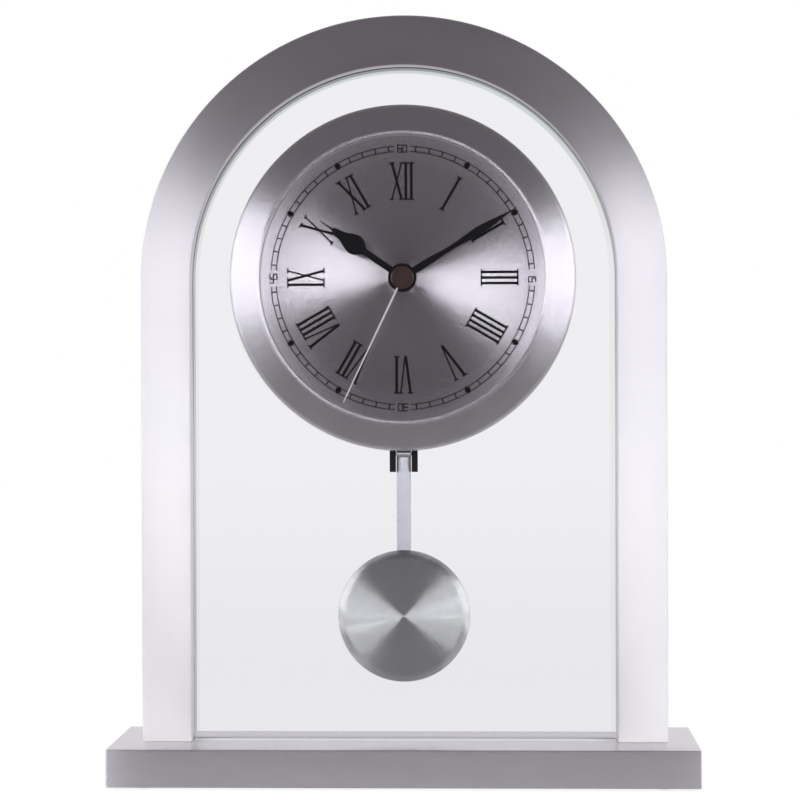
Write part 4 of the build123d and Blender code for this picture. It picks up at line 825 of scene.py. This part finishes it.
class CLOCK_OT_stage(Operator):
    """Sets up the camera, the lamps, the room and the floor"""
    bl_idname = "clock.stage"
    bl_label = "Stage"

    def execute(self, context):
        scene = context.scene
        stage = scene.clock_stage
        scene.view_settings.view_transform = "Standard"
        self.camera(scene, stage)
        self.lamps(scene, stage)
        self.room(scene, stage)
        self.floor(scene, stage)
        return {"FINISHED"}

    def camera(self, scene, stage):
        data = bpy.data.cameras.new("camera")
        data.lens = stage.lens
        data.sensor_width = 36
        data.clip_start = 0.01
        data.clip_end = 50
        forward = Vector((-sin(stage.yaw) * cos(stage.pitch), cos(stage.yaw) * cos(stage.pitch), sin(stage.pitch)))
        level = Vector((cos(stage.yaw), sin(stage.yaw), 0))
        upward = level.cross(forward)
        right = level * cos(stage.roll) + upward * sin(stage.roll)
        up = upward * cos(stage.roll) - level * sin(stage.roll)
        camera = bpy.data.objects.new("camera", data)
        axes = Matrix((right, up, -forward)).transposed()
        camera.matrix_world = Matrix.Translation(stage.eye) @ axes.to_4x4()
        scene.collection.objects.link(camera)
        scene.camera = camera

    def lamps(self, scene, stage):
        for side, rise, lean in ((-1, stage.left_lamp_rise, stage.left_lamp_lean),
                                 (1, stage.right_lamp_rise, stage.right_lamp_lean)):
            data = bpy.data.lights.new("left lamp" if side < 0 else "right lamp", "AREA")
            data.shape = "RECTANGLE"
            data.size = stage.lamp_width
            data.size_y = stage.lamp_height
            data.energy = stage.lamp_power
            data.color = stage.lamp_tint
            lamp = bpy.data.objects.new(data.name, data)
            away = Vector((side * sin(stage.lamp_turn), -cos(stage.lamp_turn), 0))
            at = away * stage.lamp_distance + Vector((0, 0, rise))
            aim = away.to_track_quat("Z", "Y").to_matrix().to_4x4()
            lamp.matrix_world = Matrix.Translation(at) @ aim @ Matrix.Rotation(side * lean, 4, "Z")
            lamp.visible_camera = False
            lamp.visible_transmission = False
            scene.collection.objects.link(lamp)

    def room(self, scene, stage):
        world = bpy.data.worlds.new("room")
        world.use_nodes = True
        world.cycles.sampling_method = "NONE"
        scene.world = world
        recipe = Recipe(world.node_tree)
        pale_room = (0.85, 0.84, 0.86)
        direction = recipe.node("ShaderNodeTexCoord").outputs["Generated"]
        x, y, _ = recipe.parts(direction)
        # Polished metal mirrors the pale room behind the clock and far out at its sides
        behind = recipe.between(y, -0.1, 0.5)
        beside = recipe.between(abs(x), 0.84, 0.96)
        mirrored = recipe.blend(recipe.number("MAXIMUM", behind, beside), tuple(stage.front_dark), pale_room)
        seen = recipe.node("ShaderNodeBackground", inputs={"Color": (1, 1, 1), "Strength": 1.0}).outputs[0]
        shine = recipe.node("ShaderNodeBackground", inputs={"Color": mirrored, "Strength": 1.0}).outputs[0]
        grey = (stage.room_grey,) * 3
        matt = recipe.node("ShaderNodeBackground", inputs={"Color": grey, "Strength": 1.0}).outputs[0]
        recipe.node("ShaderNodeOutputWorld", inputs={"Surface": recipe.by_ray(seen, shine, matt)})

    def floor(self, scene, stage):
        made, recipe = material("pale_floor")
        made.cycles.emission_sampling = "NONE"
        shadowed, grey, polished = (0.24,) * 3, (0.6,) * 3, (0.97,) * 3
        front_mirrored, back_mirrored = (0.095, 0.085, 0.097), (0.6, 0.59, 0.61)
        x, y, _ = recipe.parts(recipe.place())
        mirrored = recipe.blend(recipe.between(y, -0.13, -0.04), front_mirrored, back_mirrored)
        glow = recipe.node("ShaderNodeEmission",
                           inputs={"Color": (1, 1, 1), "Strength": stage.floor_glow}).outputs[0]
        paper = recipe.node("ShaderNodeBsdfDiffuse", inputs={"Color": shadowed}).outputs[0]
        seen = recipe.node("ShaderNodeAddShader", inputs={0: glow, 1: paper}).outputs[0]
        matt = recipe.node("ShaderNodeBsdfDiffuse", inputs={"Color": grey}).outputs[0]
        dim = recipe.node("ShaderNodeEmission", inputs={"Color": mirrored, "Strength": 1.0}).outputs[0]
        lit = recipe.node("ShaderNodeBsdfAnisotropic", inputs={"Color": polished, "Roughness": 0.12}).outputs[0]
        # Polished only beside the base, so that the legs mirror the lamps in the floor
        beside = recipe.between(abs(x) - 0.5 * abs(y), 0.07, 0.12)
        beyond = recipe.between(recipe.number("SQRT", x * x + y * y), 0.42, 0.56)
        grazing = recipe.between(recipe.node("ShaderNodeLayerWeight").outputs["Facing"], 0.55, 0.85)
        glossy = beside * (1 - beyond) * grazing
        shine = recipe.node("ShaderNodeMixShader", inputs={0: glossy, 1: dim, 2: lit}).outputs[0]
        top = recipe.by_ray(seen, shine, matt)
        open_below = recipe.node("ShaderNodeBsdfTransparent").outputs[0]
        back = recipe.node("ShaderNodeNewGeometry").outputs["Backfacing"]
        recipe.surface(recipe.node("ShaderNodeMixShader", inputs={0: back, 1: top, 2: open_below}).outputs[0])
        bm = bmesh.new()
        bmesh.ops.create_circle(bm, cap_ends=True, segments=64, radius=stage.floor_radius)
        mesh = bpy.data.meshes.new("floor")
        bm.to_mesh(mesh)
        bm.free()
        mesh.materials.append(made)
        floor = bpy.data.objects.new("floor", mesh)
        scene.collection.objects.link(floor)


PLATED = ("centre_nut", "centre_washer")


class CLOCK_OT_finish_solids(Operator):
    """Gives every carried-over solid the finish of its material slot"""
    bl_idname = "clock.finish_solids"
    bl_label = "Solids"

    def execute(self, context):
        made = finishes(context.scene)
        for name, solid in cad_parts.items():
            for slot in solid.material_slots:
                key = "can_metal" if name in PLATED else slot.material.name.split(".")[0]
                if key not in made:
                    raise RuntimeError("no finish for " + key)
                slot.material = made[key]
        return {"FINISHED"}


class CLOCK_PT_panel(Panel):
    """The clock's steps and settings"""
    bl_idname = "CLOCK_PT_panel"
    bl_label = "Desk pendulum clock"
    bl_space_type = "VIEW_3D"
    bl_region_type = "UI"
    bl_category = "Clock"

    def draw(self, context):
        for step in STEPS:
            self.layout.operator(step.bl_idname)


STEPS = (CLOCK_OT_stage, CLOCK_OT_finish_solids, CLOCK_OT_arch, CLOCK_OT_base, CLOCK_OT_pane, CLOCK_OT_bezel,
         CLOCK_OT_bob, CLOCK_OT_cap)
SETTINGS = {"clock_stand": StandSettings, "clock_head": HeadSettings, "clock_finish": FinishSettings,
            "clock_stage": StageSettings}
CLASSES = (*SETTINGS.values(), *STEPS, CLOCK_PT_panel)


def register():
    for item in CLASSES:
        bpy.utils.register_class(item)
    for name, group in SETTINGS.items():
        setattr(bpy.types.Scene, name, PointerProperty(type=group))


def unregister():
    for name in SETTINGS:
        delattr(bpy.types.Scene, name)
    for item in reversed(CLASSES):
        bpy.utils.unregister_class(item)


def main():
    register()
    for step in STEPS:
        group, name = step.bl_idname.split(".")
        getattr(getattr(bpy.ops, group), name)()


if __name__ == "__main__":
    main()
